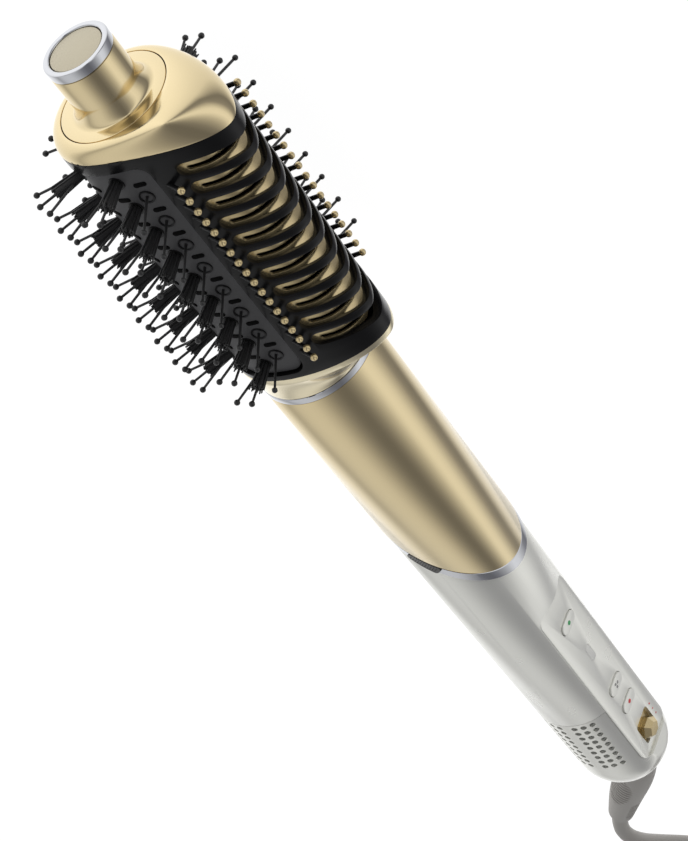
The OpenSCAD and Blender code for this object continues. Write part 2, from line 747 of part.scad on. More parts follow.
// Half outline of the slide knob at a height: a hexagon that is long across the handle
function knob_points(k) = [for (s = [[1, 0.45], [0, 1], [-1, 0.45], [-1, -0.45], [0, -1], [1, -0.45]])
    [slide_x + slide_half_x * k * s.x, slide_half_z * k * s.y]];

module slide_switch() color(gold) {
    hull() {
        along_y(flat_y - 0.4, flange_y + 0.1) polygon(knob_points(1));
        along_y(flat_y - knob_h, flat_y - 0.4) polygon(knob_points(0.62));
    }
    translate([slide_x - slide_half_x - 2, flange_y, -slide_half_z - 1.5])
        cube([2 * slide_half_x + 6.2, 0.9, 2 * slide_half_z + 3]);
}

module led_window() color(pearl) button_shape(led_x, 6, 3, flat_y, board_y - 0.1);

module main_board() color(board_green)
    translate([board_x0, board_y, -board_half]) cube([board_x1 - board_x0, board_t, 2 * board_half]);

module board_switches() color(black) {
    for (x = [power_x, fan_x, heat_x]) translate([x - 3, board_y - switch_h, -3]) cube([6, switch_h, 6]);
    translate([slide_x - 5, board_y - 1.1, -4]) cube([13, 1.1, 8]);
}

// Fan unit

module motor_housing() color(black) {
    xtube(motor_x0, motor_x1, motor_r, duct_r);
    difference() {
        union() {
            xcyl(can_x0, can_x1, can_r);
            for (k = [0:vane_count - 1]) rotate([360 * k / vane_count, 0, 0])
                translate([can_x0 + 1, can_r - 1, -0.5]) cube([8, duct_r - can_r + 1.5, 1]);
        }
        xcyl(can_x0 + bearing_l + 0.2, can_x1 - bearing_l - 0.2, can_r - can_wall);
        xcyl(can_x0 - 1, can_x1 + 1, bearing_r + slip);
    }
}

module motor_mounts() color(black) for (x = [motor_x0 + 1, motor_x1 - 5])
    xtube(x, x + 4, handle_in - slip, motor_r + slip);

module motor_stator() color(copper) difference() {
    xcyl(stator_x0, stator_x0 + stator_l, can_r - can_wall - slip);
    xcyl(stator_x0 - 1, stator_x0 + stator_l + 1, magnet_r + 0.4);
    for (k = [0:5]) rotate([60 * k, 0, 0])
        translate([stator_x0 - 1, magnet_r + 1.6, -1]) cube([stator_l + 2, 1.8, 2]);
}

module motor_bearings() color(steel) for (x = [can_x0, can_x1 - bearing_l])
    xtube(x, x + bearing_l, bearing_r, shaft_r + slip);

module rotor_shaft() color(steel) xcyl(impeller_x0, can_x1 + 0.5, shaft_r);

module rotor_magnet() color(steel) xtube(stator_x0, stator_x0 + stator_l, magnet_r, shaft_r);

module impeller() color(black) difference() {
    union() {
        xcone(impeller_x0, impeller_x0 + impeller_l, 3.4, can_r - 0.6);
        for (k = [0:blade_count - 1]) rotate([360 * k / blade_count, 0, 0]) translate([impeller_x0, 2.6, 0])
            rotate([28, 0, 0]) translate([0, 0, -0.4]) cube([impeller_l, duct_r - 4.3, 0.8]);
    }
    xcyl(impeller_x0 - 1, impeller_x0 + impeller_l + 1, shaft_r);
}

// Rear frame and intake

module rear_frame() color(black) difference() {
    union() {
        xtube(sleeve_x, sleeve_x + 6, handle_in - slip, cage_r - cage_wall);
        xtube(plate_x, sleeve_x, cage_r, cage_r - cage_wall);
        xcyl(plate_x - end_plate_t, plate_x, cage_r - 1);
    }
    above_panel_back();
    for (a = [65:50:295]) rotate([180 + a, 0, 0])
        translate([dome_x + 4, cage_r - 4, -5]) cube([sleeve_l - 8, 8, 10]);
    xcyl(plate_x - end_plate_t - 1, plate_x + 1, 3.5);
    for (s = [-1, 1]) translate([0, 0, s * screw_z])
        xcyl(plate_x - end_plate_t - 1, plate_x + 1, screw2_r + 0.1);
}

// Everything that the panel's tongue takes up
module above_panel_back() translate([panel_end_x - gap, -big + panel_back, -panel_half - gap])
    cube([big, big, panel_w + 2 * gap]);

module filter_mesh() color(steel) difference() {
    xtube(dome_x + 2, sleeve_x - 1, filter_r, filter_r - filter_t);
    above_panel_back();
}

function dome_r(x, r, a) = r * sqrt(max(0, 1 - pow((dome_x - x) / a, 2)));

// The rounded end's points, of length l, radius r and half axis a
function dome_points(l, r, a) = [for (i = [12:-1:0]) let (x = dome_x - l * i / 12) [dome_r(x, r, a), x]];

module intake_sleeve() color(pearl) difference() {
    union() {
        xcone(dome_x, sleeve_x - gap, handle_r(dome_x), handle_r(sleeve_x));
        rotate([0, 90, 0]) rotate_extrude() polygon(concat([[0, dome_x - dome_l]],
            dome_points(dome_l, handle_r(dome_x), dome_a), [[0, dome_x]]));
    }
    rotate([0, 90, 0]) rotate_extrude() polygon(concat([[0, dome_x - dome_l + 1.3]],
        dome_points(dome_l - 1.3, sleeve_in + 0.1, dome_a - 1.2),
        [[sleeve_in + 0.1, sleeve_x + 1], [0, sleeve_x + 1]]));
    for (y = [boot_hole_y0, boot_hole_y1]) translate([0, y, 0])
        xcyl(dome_x - dome_l - 1, dome_x - 6, boot_hole_r);
    translate([dome_x - dome_l - 1, boot_hole_y0, -boot_hole_r])
        cube([dome_l - 5, boot_hole_y1 - boot_hole_y0, 2 * boot_hole_r]);
    along_y(-big / 2, -cage_r / 2) polygon(rounded(panel_end_x - 2 * gap, -panel_half - gap, sleeve_x + 20,
        panel_half + gap, panel_corner));
    for (s = [-1, 1]) for (g = group_centres) for (c = [-1:1]) for (i = [0:hole_rows - 1])
        rotate([-s * (g + c * column_step), 0, 0]) translate([sleeve_x - 2.7 - hole_pitch * i, 0, 0])
            rotate([90, 0, 0]) translate([0, 0, sleeve_in - 2]) cylinder(h = 6, r = hole_d / 2);
}

screw_z = 11.5;
screw2_r = 0.95;
module cord_clamp() color(black) difference() {
    union() {
        translate([plate_x, -4, -screw_z - 2.5]) cube([2, 8, 2 * screw_z + 5]);
        translate([plate_x, board_y - 0.6, -6]) cube([6, 4.6 - board_y, 12]);
    }
    xcyl(plate_x - 1, plate_x + 7, cord_r);
    for (s = [-1, 1]) {
        translate([0, 0, s * screw_z]) xcyl(plate_x - 1, plate_x + 3, screw2_r);
        translate([0, board_y + board_t + 0.85, s * 3]) xcyl(plate_x + 3, plate_x + 7, 0.85);
    }
}

module clamp_screws() color(steel) for (s = [-1, 1]) translate([0, 0, s * screw_z]) {
    xcyl(plate_x - end_plate_t - 1.4, plate_x - end_plate_t, 1.8);
    xcyl(plate_x - end_plate_t, plate_x + 2, screw2_r);
}

module supply_wires() color(copper) for (s = [-1, 1])
    translate([0, board_y + board_t + 0.85, s * 3]) xcyl(plate_x + 3.2, plate_x + 20, 0.8);

// Cord

module cord_boot() color(cord_grey) {
    sweep(boot_path, boot_r, 24, start = [-1, 0, 0], end = boot_end);
    // The cord's own end, inside the clamp
    xcyl(boot_path[0].x - 0.5, plate_x + 8, cord_r - slip);
}

module cord_lead() color(cord_grey) sweep(lead_path, [for (p = lead_path) cord_r], 10,
    start = boot_end, end = [-1, 0, 0], low = floor_z + tie_t);

// The coil: in, out, in and out again, then down the outside to the plug
function ease(u) = let (c = min(max(u, 0), 1)) c * c * (3 - 2 * c);
function coil_level(t) = ease((t - coil_turns) * 2 + 0.5) + ease((t - 2 * coil_turns) * 2 + 0.5)
    + ease((t - 3 * coil_turns) * 2 + 0.5);
function coil_radius(t) = let (u = t / coil_turns, w = u - 2 * floor(u / 2))
    coil_out_r - (coil_out_r - coil_in_r) * (w < 1 ? w : 2 - w);
function coil_at(t) = let (a = 90 + 360 * t, r = coil_radius(t))
    [coil_x + r * cos(a), coil_y + r * sin(a), coil_z + layer_pitch * coil_level(t)];
function drop_at(u) = let (a = 90 + 180 * u, r = coil_out_r + (drop_r - coil_out_r) * ease(u / 0.45),
    top = coil_z + 3 * layer_pitch)
    [coil_x + r * cos(a), coil_y + r * sin(a), top + (plug_z - top) * ease((u - 0.1) / 0.9)];
coil_path = concat(
    [coil_at(0), coil_at(0) - [cord_d, cord_d * cord_d / coil_out_r / 2, 0]],
    [for (i = [1:4 * coil_turns * rings_a_turn]) coil_at(i / rings_a_turn)],
    [for (i = [1:rings_a_turn / 2]) drop_at(2 * i / rings_a_turn)],
    [drop_at(1) + [cord_d, 0, 0]]);

// The least distance between two places of the cord that lie over half a turn apart, less its diameter
coil_least = min([for (i = [0:len(coil_path) - 1]) for (j = [i + 12:1:len(coil_path) - 1])
    norm(coil_path[i] - coil_path[j])]) - cord_d;
echo(coil_least_gap = coil_least);  // cord_coil

module cord_coil() color(cord_grey) sweep(coil_path, [for (p = coil_path) cord_r], 6,
    start = [-1, 0, 0], end = [1, 0, 0], low = floor_z + tie_t);

module cord_tie() color(black) {
    x0 = coil_x + coil_in_r - cord_r;
    x1 = coil_x + coil_out_r + cord_r;
    top = coil_z + 3 * layer_pitch + cord_r + 0.3;
    translate([0, coil_y + 6, 0]) rotate([90, 0, 0]) linear_extrude(12) difference() {
        polygon(rounded(x0 - 1, floor_z, x1 + 1, top + 1, 4));
        polygon(rounded(x0, floor_z + tie_t, x1, top, 3));
    }
}

plug_x = coil_x + cord_d;
plug_y = coil_y - drop_r;
module plug_body() color(cord_grey) translate([plug_x, plug_y, plug_z]) {
    rotate([0, 90, 0]) cylinder(h = plug_tail, r1 = cord_r + 0.8, r2 = cord_r + 2.4);
    hull() for (z = [-1, 1]) for (y = [-1, 1])
        translate([plug_tail - 0.5, y * (plug_w / 2 - 3), z * (plug_h / 2 - 3)])
            rotate([0, 90, 0]) cylinder(h = plug_l, r = 3, $fn = 24);
}

module plug_pins() color(steel) for (y = [-6.35, 6.35])
    translate([plug_x + plug_tail + plug_l - 0.5, plug_y + y - 0.75, plug_z - 3.15]) cube([17.5, 1.5, 6.3]);

barrel_tube();
barrel_ring();
outlet_grille();
heater_frame();
heater_coil();
heater_shield();
heater_leads();
thermal_fuse();
thermostat();
joint_spigot();
head_adapter();
head_collar();
vent_frame();
vent_core();
head_duct();
bristle_pad();
bristles();
side_pins();
pin_tips();
end_cap();
tip_post();
tip_ring();
tip_disc();
tip_screw();
handle_shell();
joint_ring();
joint_retainer();
lock_button();
control_panel();
power_button();
fan_button();
heat_button();
slide_switch();
led_window();
main_board();
board_switches();
motor_housing();
motor_mounts();
motor_stator();
motor_bearings();
rotor_shaft();
rotor_magnet();
impeller();
rear_frame();
filter_mesh();
intake_sleeve();
cord_clamp();
clamp_screws();
supply_wires();
cord_boot();
cord_lead();
cord_coil();
cord_tie();
plug_body();
plug_pins();
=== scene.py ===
"""Finished surfaces of a hot air styler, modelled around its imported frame."""

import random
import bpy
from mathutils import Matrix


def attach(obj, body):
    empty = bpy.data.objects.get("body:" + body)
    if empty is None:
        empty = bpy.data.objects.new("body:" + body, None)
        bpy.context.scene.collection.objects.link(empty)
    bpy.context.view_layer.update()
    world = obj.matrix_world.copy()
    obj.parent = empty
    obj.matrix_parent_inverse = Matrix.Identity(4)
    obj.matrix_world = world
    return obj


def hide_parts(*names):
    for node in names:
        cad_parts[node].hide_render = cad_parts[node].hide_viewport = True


bl_info = {
    "name": "Hot Air Styler",
    "version": (1, 0, 0),
    "blender": (4, 5, 0),
    "location": "3D View > Sidebar > Styler",
    "description": "Models the casing, brush head, controls and lead of a hot air styler",
    "category": "Add Mesh",
}

from bisect import bisect_right
from itertools import product
from math import asin, atan, ceil, copysign, cos, degrees, hypot, pi, radians, sin, sqrt, tan

import bpy
from bpy.props import FloatProperty, FloatVectorProperty, PointerProperty
from bpy.types import Operator, Panel, PropertyGroup
from mathutils import Matrix, Vector

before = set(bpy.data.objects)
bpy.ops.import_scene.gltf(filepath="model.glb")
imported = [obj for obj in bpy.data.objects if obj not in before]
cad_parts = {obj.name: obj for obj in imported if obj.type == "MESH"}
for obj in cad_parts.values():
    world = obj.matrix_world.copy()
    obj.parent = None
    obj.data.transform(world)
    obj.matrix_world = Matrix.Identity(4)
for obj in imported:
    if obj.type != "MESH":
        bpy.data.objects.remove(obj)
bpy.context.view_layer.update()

# Everything is modelled in millimetres and brought to metres at the end
MM = 0.001
WELD = 0.002
ALONG = Vector((1, 0, 0))

# Places along the styler, from the barrel's mouth at 0 towards the tip
MOUTH_RING = 2.5
MOUTH_BORE = 18.05
COLLAR_START = 2.7
RIM_X = 14.3
CAP_X = 113.3
SHOULDER_X = 117.6
TIP_X = 136.7
JOINT_X = -88.9
SLEEVE_X = -204.0
DOME_X = -243.0
DOME_LENGTH = 16.5
DOME_AXIS = 20.0
FLOOR_Z = -37.0

# Twist joint: a frame whose first axis is square to the slanted plane
JOINT_TILT = radians(47)
JOINT_NORMAL = Vector((cos(JOINT_TILT), -sin(JOINT_TILT), 0))
JOINT_ACROSS = Vector((sin(JOINT_TILT), cos(JOINT_TILT), 0))
JOINT_FRAME = Matrix.Translation((JOINT_X, 0, 0)) @ Matrix.Rotation(-JOINT_TILT, 4, "Z")
REACH = 30
SEAM = 0.15
RING_FAR = 2.9
RING_RADIUS = 19.93
SHELL_BORE = 17.386

# Brush head: its section's reach towards the vents and to the sides, its rim, the pad's window, then the
# slots, the louvres behind them and the pins beside them
DEPTH = 35.5
SIDE = 21.5
ROUNDNESS = 2 / 1.7
RIM_DIP = 7.4
WINDOW_Y = -15.0
WINDOW_LOW = 16.4
WINDOW_HIGH = 109.0
WINDOW_CORNER = 4.0
PAD_GAP = 0.45
VENT_END_Y = -21.5
VENT_FIRST = 105.6
VENT_PITCH = 7.6
VENTS = 11
SUNK_TO = 15.0
LOUVRE_SHIFT = -0.9
LOUVRE_INSET = 1.9
SIDE_PINS = 18
SIDE_PIN_FIRST = 99.8
SIDE_PIN_PITCH = 4.419

# Controls, along the handle
FLAT_Y = -16.3
BUTTON_Y = FLAT_Y - 0.6
PANEL_BACK = -13.6
PANEL_TOP = -141.5
PANEL_EDGE = 10.8
BUTTON = (2.45, 4.95)
BUTTON_GAP = 0.25
LAMP = (4.2, 1.5)
LAMP_GAP = 0.06
POWER_X = -158.9
LED_X = -179.5
FAN_X = -202.5
HEAT_X = -214.75
SLIDE_X = -235.0
DOTS_X = -229.6
DOTS_Z = -7.2

# Intake holes: the middles of their groups and the step between columns, in degrees from the controls,
# then the rows, their pitch and the first one's distance from the sleeve's edge
HOLE_GROUPS = (67, 108, 149)
HOLE_STEP = 11
HOLE_ROWS = 9
HOLE_PITCH = 3.63
HOLE_FIRST = 2.7

# Lead: the boot's line and half widths, then the way to the coil
BOOT_PATH = [
    (-249, 0.2, 0), (-259.5, 0.3, 0), (-266, 2.2, 0), (-279, 9, 0), (-298, 20.5, 0), (-317.5, 31.5, 0),
]
BOOT_RADII = [8, 8, 8, 7.9, 6.9, 5.3]
BOOT_RINGS = 300
GRIP_TURN = 118
RIB_PITCH = 2.6
RIB_DEPTH = 1.1
LEAD_POINTS = [
    (-317.5, 31.5, 0), (-323.2, 34.7, 0), (-336.5, 39.6, -0.5), (-348.5, 41.8, -2.5), (-362, 42.5, -7),
    (-376, 41.5, -13.5), (-390, 39, -20.5), (-404, 35.6, -27), (-418, 32.4, -31.5), (-430, 30.4, -33.6),
]
COIL_X, COIL_Y, COIL_Z = -440.0, -16.0, -33.86
COIL_OUTER, COIL_INNER = 46.0, 28.0
COIL_TURNS = 2.5
LAYER_PITCH = 7.1
COIL_TOP = COIL_Z + 3 * LAYER_PITCH
FREE_POINTS, TURN_POINTS = 60, 32
DROP_RADIUS = 53.4
PLUG_Z = -30.0
PLUG_PLACE = Matrix.Translation((-433.4, -69.4, PLUG_Z))
BLADE_START = 51.5


def size(name, description, value):
    """A length that can be changed in the sidebar."""
    return FloatProperty(name=name, description=description, default=value, unit="LENGTH")


class StylerSizes(PropertyGroup):
    """Sizes that can be changed without leaving the frame."""

    barrel_radius: size("Barrel radius", "Axis to the barrel's outside", 0.020)
    barrel_wall: size("Barrel wall", "Thickness of the barrel", 0.0018)
    vent_width: size("Vent width", "Width of a slot in the vent frame", 0.0048)
    louvre_width: size("Louvre gap", "Width of the gap between two golden louvres", 0.0016)
    frame_wall: size("Vent frame wall", "Thickness of the vent frame", 0.0030)
    pad_recess: size("Pad recess", "Rim to the bristle pad's face", 0.0013)
    tuft_pitch: size("Tuft pitch", "Distance between tufts along the head", 0.01035)
    bead_radius: size("Bead radius", "Radius of a golden bead", 0.00115)
    hole_radius: size("Hole radius", "Radius of an intake hole", 0.00115)
    cord_diameter: size("Lead diameter", "Diameter of the mains lead", 0.0066)


def colour(name, description, value):
    """A colour that can be changed in the sidebar."""
    return FloatVectorProperty(
        name=name, description=description, default=value, subtype="COLOR", size=3, min=0, max=1)


class StylerColours(PropertyGroup):
    """Colours of the finishes."""

    gold: colour("Gold paint", "Barrel and end cap", (0.76, 0.63, 0.38))
    pale_gold: colour("Pale gold", "Collar over the mouth", (0.84, 0.75, 0.53))
    bright_gold: colour("Golden gloss", "Louvres, beads and slide knob", (0.66, 0.53, 0.29))
    pearl: colour("Pearl paint", "Handle, panel and buttons", (0.83, 0.83, 0.78))
    chrome: colour("Chrome", "Bright rings", (0.62, 0.63, 0.66))
    black: colour("Black plastic", "Vent frame and lock", (0.006, 0.006, 0.0065))
    pad: colour("Pad grey", "Rubber pad that holds the bristles", (0.078, 0.078, 0.081))
    nylon: colour("Nylon", "Bristles and pins", (0.022, 0.022, 0.0225))
    disc: colour("Disc beige", "Disc in the tip", (0.54, 0.49, 0.37))
    cord: colour("Lead grey", "Lead, boot and plug", (0.305, 0.29, 0.27))
    copper: colour("Copper", "Windings and wires", (0.56, 0.25, 0.10))
    steel: colour("Steel", "Screws, shaft and blades", (0.50, 0.51, 0.52))
    mica: colour("Mica", "Heater's frame and shield", (0.52, 0.42, 0.25))
    board: colour("Board green", "Circuit board", (0.02, 0.13, 0.05))


def mm(name):
    """A size from the sidebar, in millimetres."""
    return getattr(bpy.context.scene.styler_sizes, name) / MM


def smooth(u):
    """Eases from 0 to 1."""
    u = min(max(u, 0), 1)
    return u * u * (3 - 2 * u)


# Handling objects and meshes


def select_only(*objs):
    """Selects these pieces and makes the first one active."""
    bpy.ops.object.select_all(action="DESELECT")
    for obj in objs:
        obj.select_set(True)
    bpy.context.view_layer.objects.active = objs[0]


def edit_all(obj):
    """Opens a piece in edit mode with everything selected."""
    select_only(obj)
    bpy.ops.object.mode_set(mode="EDIT")
    bpy.ops.mesh.select_all(action="SELECT")


def leave():
    """Goes back from edit mode."""
    bpy.ops.object.mode_set(mode="OBJECT")


def with_modifier(obj, kind, **settings):
    """Adds a modifier and applies it."""
    select_only(obj)
    modifier = obj.modifiers.new(kind.title(), kind)
    for key, value in settings.items():
        setattr(modifier, key, value)
    bpy.ops.object.modifier_apply(modifier=modifier.name)
    return obj


def wall(obj, thickness, group=""):
    """Thickens a skin inwards, by its vertex weights if a group is named."""
    return with_modifier(obj, "SOLIDIFY", thickness=thickness, offset=-1, vertex_group=group)


def rounded_edges(obj, width, segments=2, angle=40):
    """Bevels the edges that are sharper than an angle."""
    return with_modifier(
        obj, "BEVEL", width=width, segments=segments, limit_method="ANGLE", angle_limit=radians(angle),
        use_clamp_overlap=True, harden_normals=False)


def cut(obj, *cutters, operation="DIFFERENCE"):
    """Cuts a piece with solids, which are used up."""
    for cutter in cutters:
        with_modifier(obj, "BOOLEAN", operation=operation, object=cutter, solver="EXACT")
        bpy.data.objects.remove(cutter)
    return obj


def joined(parts):
    """Joins pieces into the first one."""
    select_only(*parts)
    if len(parts) > 1:
        bpy.ops.object.join()
    return parts[0]


def merged(parts, flip=False):
    """Joins skins into one and welds the vertices that they share."""
    piece = joined(parts)
    edit_all(piece)
    bpy.ops.mesh.remove_doubles(threshold=WELD)
    if flip:
        bpy.ops.mesh.flip_normals()
    leave()
    return piece


def outward(piece):
    """Welds a closed solid and turns its faces outwards."""
    edit_all(piece)
    bpy.ops.mesh.remove_doubles(threshold=WELD)
    bpy.ops.mesh.delete_loose()
    bpy.ops.mesh.select_all(action="SELECT")
    bpy.ops.mesh.normals_make_consistent(inside=False)
    leave()
    return piece


def copies(template, places):
    """One object with a copy of the template at each place; the template is used up."""
    made = []
    for place in places:
        copy = template.copy()
        copy.data = template.data.copy()
        bpy.context.collection.objects.link(copy)
        copy.data.transform(place)
        made.append(copy)
    bpy.data.objects.remove(template)
    return joined(made)


# Shapes


def patch(columns, rows, place, weight=None):
    """A grid whose point in column i and row j goes to place(i, j)."""
    bpy.ops.mesh.primitive_grid_add(x_subdivisions=columns, y_subdivisions=rows, size=2)
    piece = bpy.context.object
    group = piece.vertex_groups.new(name="wall") if weight else None
    for vertex in piece.data.vertices:
        i = round((vertex.co.x + 1) / 2 * columns)
        j = round((vertex.co.y + 1) / 2 * rows)
        vertex.co = place(i, j)
        if group:
            group.add([vertex.index], weight(i, j), "REPLACE")
    return piece


def turned(outline, steps=96):
    """Spins an outline of (x, radius) points round the styler's axis."""
    bpy.ops.mesh.primitive_circle_add(vertices=len(outline), radius=1)
    piece = bpy.context.object
    for vertex, (x, radius) in zip(piece.data.vertices, outline):
        vertex.co = (x, radius, 0)
    edit_all(piece)
    bpy.ops.mesh.spin(steps=steps, angle=2 * pi, center=(0, 0, 0), axis=(1, 0, 0))
    leave()
    return outward(piece)


def band_ring(start, end, bore, radius):
    """A ring round the styler's axis."""
    return turned([(start, bore), (end, bore), (end, radius), (start, radius)], 128)


def prism(outline, start, end, axis="Y"):
    """A solid between two places along an axis. Along Y its outline is (x, z), along X it is (z, y)."""
    bpy.ops.mesh.primitive_circle_add(vertices=len(outline), radius=1, fill_type="NGON")
    piece = bpy.context.object
    for vertex, (u, v) in zip(piece.data.vertices, outline):
        vertex.co = (u, start, v) if axis == "Y" else (start, v, u)
    edit_all(piece)
    way = (0, end - start, 0) if axis == "Y" else (end - start, 0, 0)
    bpy.ops.mesh.extrude_region_move(TRANSFORM_OT_translate={"value": way})
    leave()
    return outward(piece)


def rod(start, end, radius, end_radius=None, sides=160):
    """A round bar along X, or a cone if it ends at another radius."""
    bpy.ops.mesh.primitive_cone_add(
        vertices=sides, radius1=radius, radius2=end_radius or radius, depth=end - start,
        location=((start + end) / 2, 0, 0), rotation=(0, pi / 2, 0))
    bpy.ops.object.transform_apply()
    return bpy.context.object


def block(low, high, place=Matrix.Identity(4)):
    """A box between two corners, in another frame if one is given."""
    bpy.ops.mesh.primitive_cube_add(size=1)
    piece = bpy.context.object
    low, high = Vector(low), Vector(high)
    size_up = Matrix.Diagonal((*(high - low), 1))
    piece.data.transform(place @ Matrix.Translation((low + high) / 2) @ size_up)
    return piece


def axes_at(place, *axes):
    """A frame at a place, with these X, Y and Z axes."""
    return Matrix.Translation(place) @ Matrix(axes).transposed().to_4x4()


def rounding(t, radius):
    """How far a round corner draws its edge in, at a distance t from its end."""
    return radius - sqrt(max(0, radius ** 2 - (radius - t) ** 2)) if t < radius else 0


def rounded_outline(x0, y0, x1, y1, radius, steps=8):
    """Corner points of a rectangle with round corners."""
    corners = [(x1, y1, -1, -1, 0), (x0, y1, 1, -1, 90), (x0, y0, 1, 1, 180), (x1, y0, -1, 1, 270)]
    return [
        (x + sx * radius + radius * cos(radians(turn + 90 * k / steps)),
         y + sy * radius + radius * sin(radians(turn + 90 * k / steps)))
        for x, y, sx, sy, turn in corners for k in range(steps + 1)
    ]


def pill(x, half_x, half_z, grow=0.0, steps=12):
    """Outline of a slot or button with round ends, at a place along the handle."""
    u, v = half_x + grow, half_z + grow
    return rounded_outline(x - u, -v, x + u, v, min(u, v) - 0.01, steps)


def bisected(obj, distance, keep_tip_side=True):
    """Cuts a solid along a plane of the twist joint and closes the cut."""
    edit_all(obj)
    bpy.ops.mesh.bisect(
        plane_co=JOINT_X * ALONG + distance * JOINT_NORMAL, plane_no=JOINT_NORMAL, use_fill=True,
        clear_inner=keep_tip_side, clear_outer=not keep_tip_side)
    leave()
    return obj


def hose(points, ripple, sides, low=None):
    """A closed tube along points; ripple(j, angle) gives its radius at point j."""
    count = len(points)
    ways = [(points[min(j + 1, count - 1)] - points[max(j - 1, 0)]).normalized() for j in range(count)]

    def place(i, j):
        angle = 2 * pi * i / sides
        side = Vector((0, 0, 1)).cross(ways[j]).normalized()
        up = ways[j].cross(side)
        point = points[j] + ripple(j, angle) * (cos(angle) * side + sin(angle) * up)
        return point if low is None else Vector((point.x, point.y, max(point.z, low)))

    piece = merged([patch(sides, count - 1, place)])
    edit_all(piece)
    bpy.ops.mesh.fill_holes(sides=0)
    leave()
    return outward(piece)


def through(points, share):
    """A point on the smooth curve through a list of points."""
    at = share * (len(points) - 1)
    k = min(int(at), len(points) - 2)
    t = at - k
    before, start = points[max(k - 1, 0)], points[k]
    end, after = points[k + 1], points[min(k + 2, len(points) - 1)]
    return 0.5 * (
        2 * start + (end - before) * t + (2 * before - 5 * start + 4 * end - after) * t * t
        + (3 * start - before - 3 * end + after) * t ** 3)


# The head's section: a superellipse towards the vents, a circle towards the bristles


def head_point(a, inset=0.0):
    """(y, z) of the outline; a is 0 at the middle of the vents and grows towards +Z."""
    c, s = cos(a), sin(a)
    if c > 0:
        return -(DEPTH - inset) * c ** ROUNDNESS, copysign((SIDE - inset) * abs(s) ** ROUNDNESS, s)
    return -(SIDE - inset) * c, (SIDE - inset) * s


# Length along the half outline at evenly spaced angles
OUTLINE_STEPS = 3600
OUTLINE = [head_point(pi * k / OUTLINE_STEPS) for k in range(OUTLINE_STEPS + 1)]
LENGTHS = [0.0]
for (y0, z0), (y1, z1) in zip(OUTLINE, OUTLINE[1:]):
    LENGTHS.append(LENGTHS[-1] + hypot(y1 - y0, z1 - z0))
HALF = LENGTHS[-1]


def angle_at(s):
    """The outline's angle at a length from the middle of the vents."""
    if s < 0:
        return -angle_at(-s)
    if s > HALF:
        return 2 * pi - angle_at(2 * HALF - s)
    k = min(bisect_right(LENGTHS, s), OUTLINE_STEPS) - 1
    part = (s - LENGTHS[k]) / (LENGTHS[k + 1] - LENGTHS[k])
    return pi * (k + part) / OUTLINE_STEPS


def length_to(y):
    """Length along the outline from the middle of the vents to a height Y."""
    low, high = 0.0, HALF
    for _ in range(40):
        middle = (low + high) / 2
        low, high = (middle, high) if head_point(angle_at(middle))[0] < y else (low, middle)
    return low


def outline_y(s):
    """Height Y of the outline at a length from the middle of the vents."""
    return head_point(angle_at(s))[0]


def dip(y):
    """How far the rim and the slots bend back from the tip at a height Y."""
    return RIM_DIP * (y / DEPTH) ** 2


def cap_rim(y):
    """The cap's rim along the head, which bends back over the vents."""
    return CAP_X - (dip(y) if y < 0 else 0)


def spread(start, end, step):
    """Evenly spaced values from start to end, about a step apart."""
    count = max(1, ceil((end - start) / step))
    return [start + (end - start) * k / count for k in range(count + 1)]


def direction_angle(theta, inset):
    """The outline's angle in a direction from the axis, measured from the vents."""
    if theta >= pi / 2:
        return theta
    return atan((tan(theta) * (DEPTH - inset) / (SIDE - inset)) ** (1 / ROUNDNESS))


def seat(x, theta, inset, lift=0.0, radial=False):
    """
    A frame on the head's outline, in a direction of theta degrees from the vents.

    Its Z points out of the head, or straight away from the axis if radial, and its X along the head.
    """
    side = copysign(1, theta)
    a = direction_angle(radians(abs(theta)), inset)
    y, z = head_point(a, inset)
    (y0, z0), (y1, z1) = head_point(a - 0.01, inset), head_point(a + 0.01, inset)
    out = Vector((0, y, side * z)) if radial else Vector((0, -(z1 - z0), side * (y1 - y0)))
    out.normalize()
    return axes_at(Vector((x, y, side * z)) + lift * out, ALONG, out.cross(ALONG), out)


# Materials


def feed(tree, socket, value):
    """Links a socket to another, or gives it a value."""
    if isinstance(value, bpy.types.NodeSocket):
        tree.links.new(value, socket)
    else:
        socket.default_value = value


def node(tree, kind, **inputs):
    """Adds a shader node and feeds its inputs, by name or by number after an underscore."""
    made = tree.nodes.new(kind)
    for name, value in inputs.items():
        feed(tree, made.inputs[int(name[1:]) if name[0] == "_" else name.replace("_", " ")], value)
    return made


def arithmetic(tree, operation, *values):
    """Adds a math node and gives its result."""
    made = node(tree, "ShaderNodeMath", **{f"_{k}": value for k, value in enumerate(values)})
    made.operation = operation
    return made.outputs[0]


def mixed(tree, factor, first, second):
    """A mix of two colours."""
    mix = tree.nodes.new("ShaderNodeMix")
    mix.data_type = "RGBA"
    for number, value in ((0, factor), (6, first), (7, second)):
        feed(tree, mix.inputs[number], value)
    return mix.outputs[2]


def shade(base, factor):
    """A colour made lighter or darker, with full alpha."""
    return (*(min(1, channel * factor) for channel in base), 1)


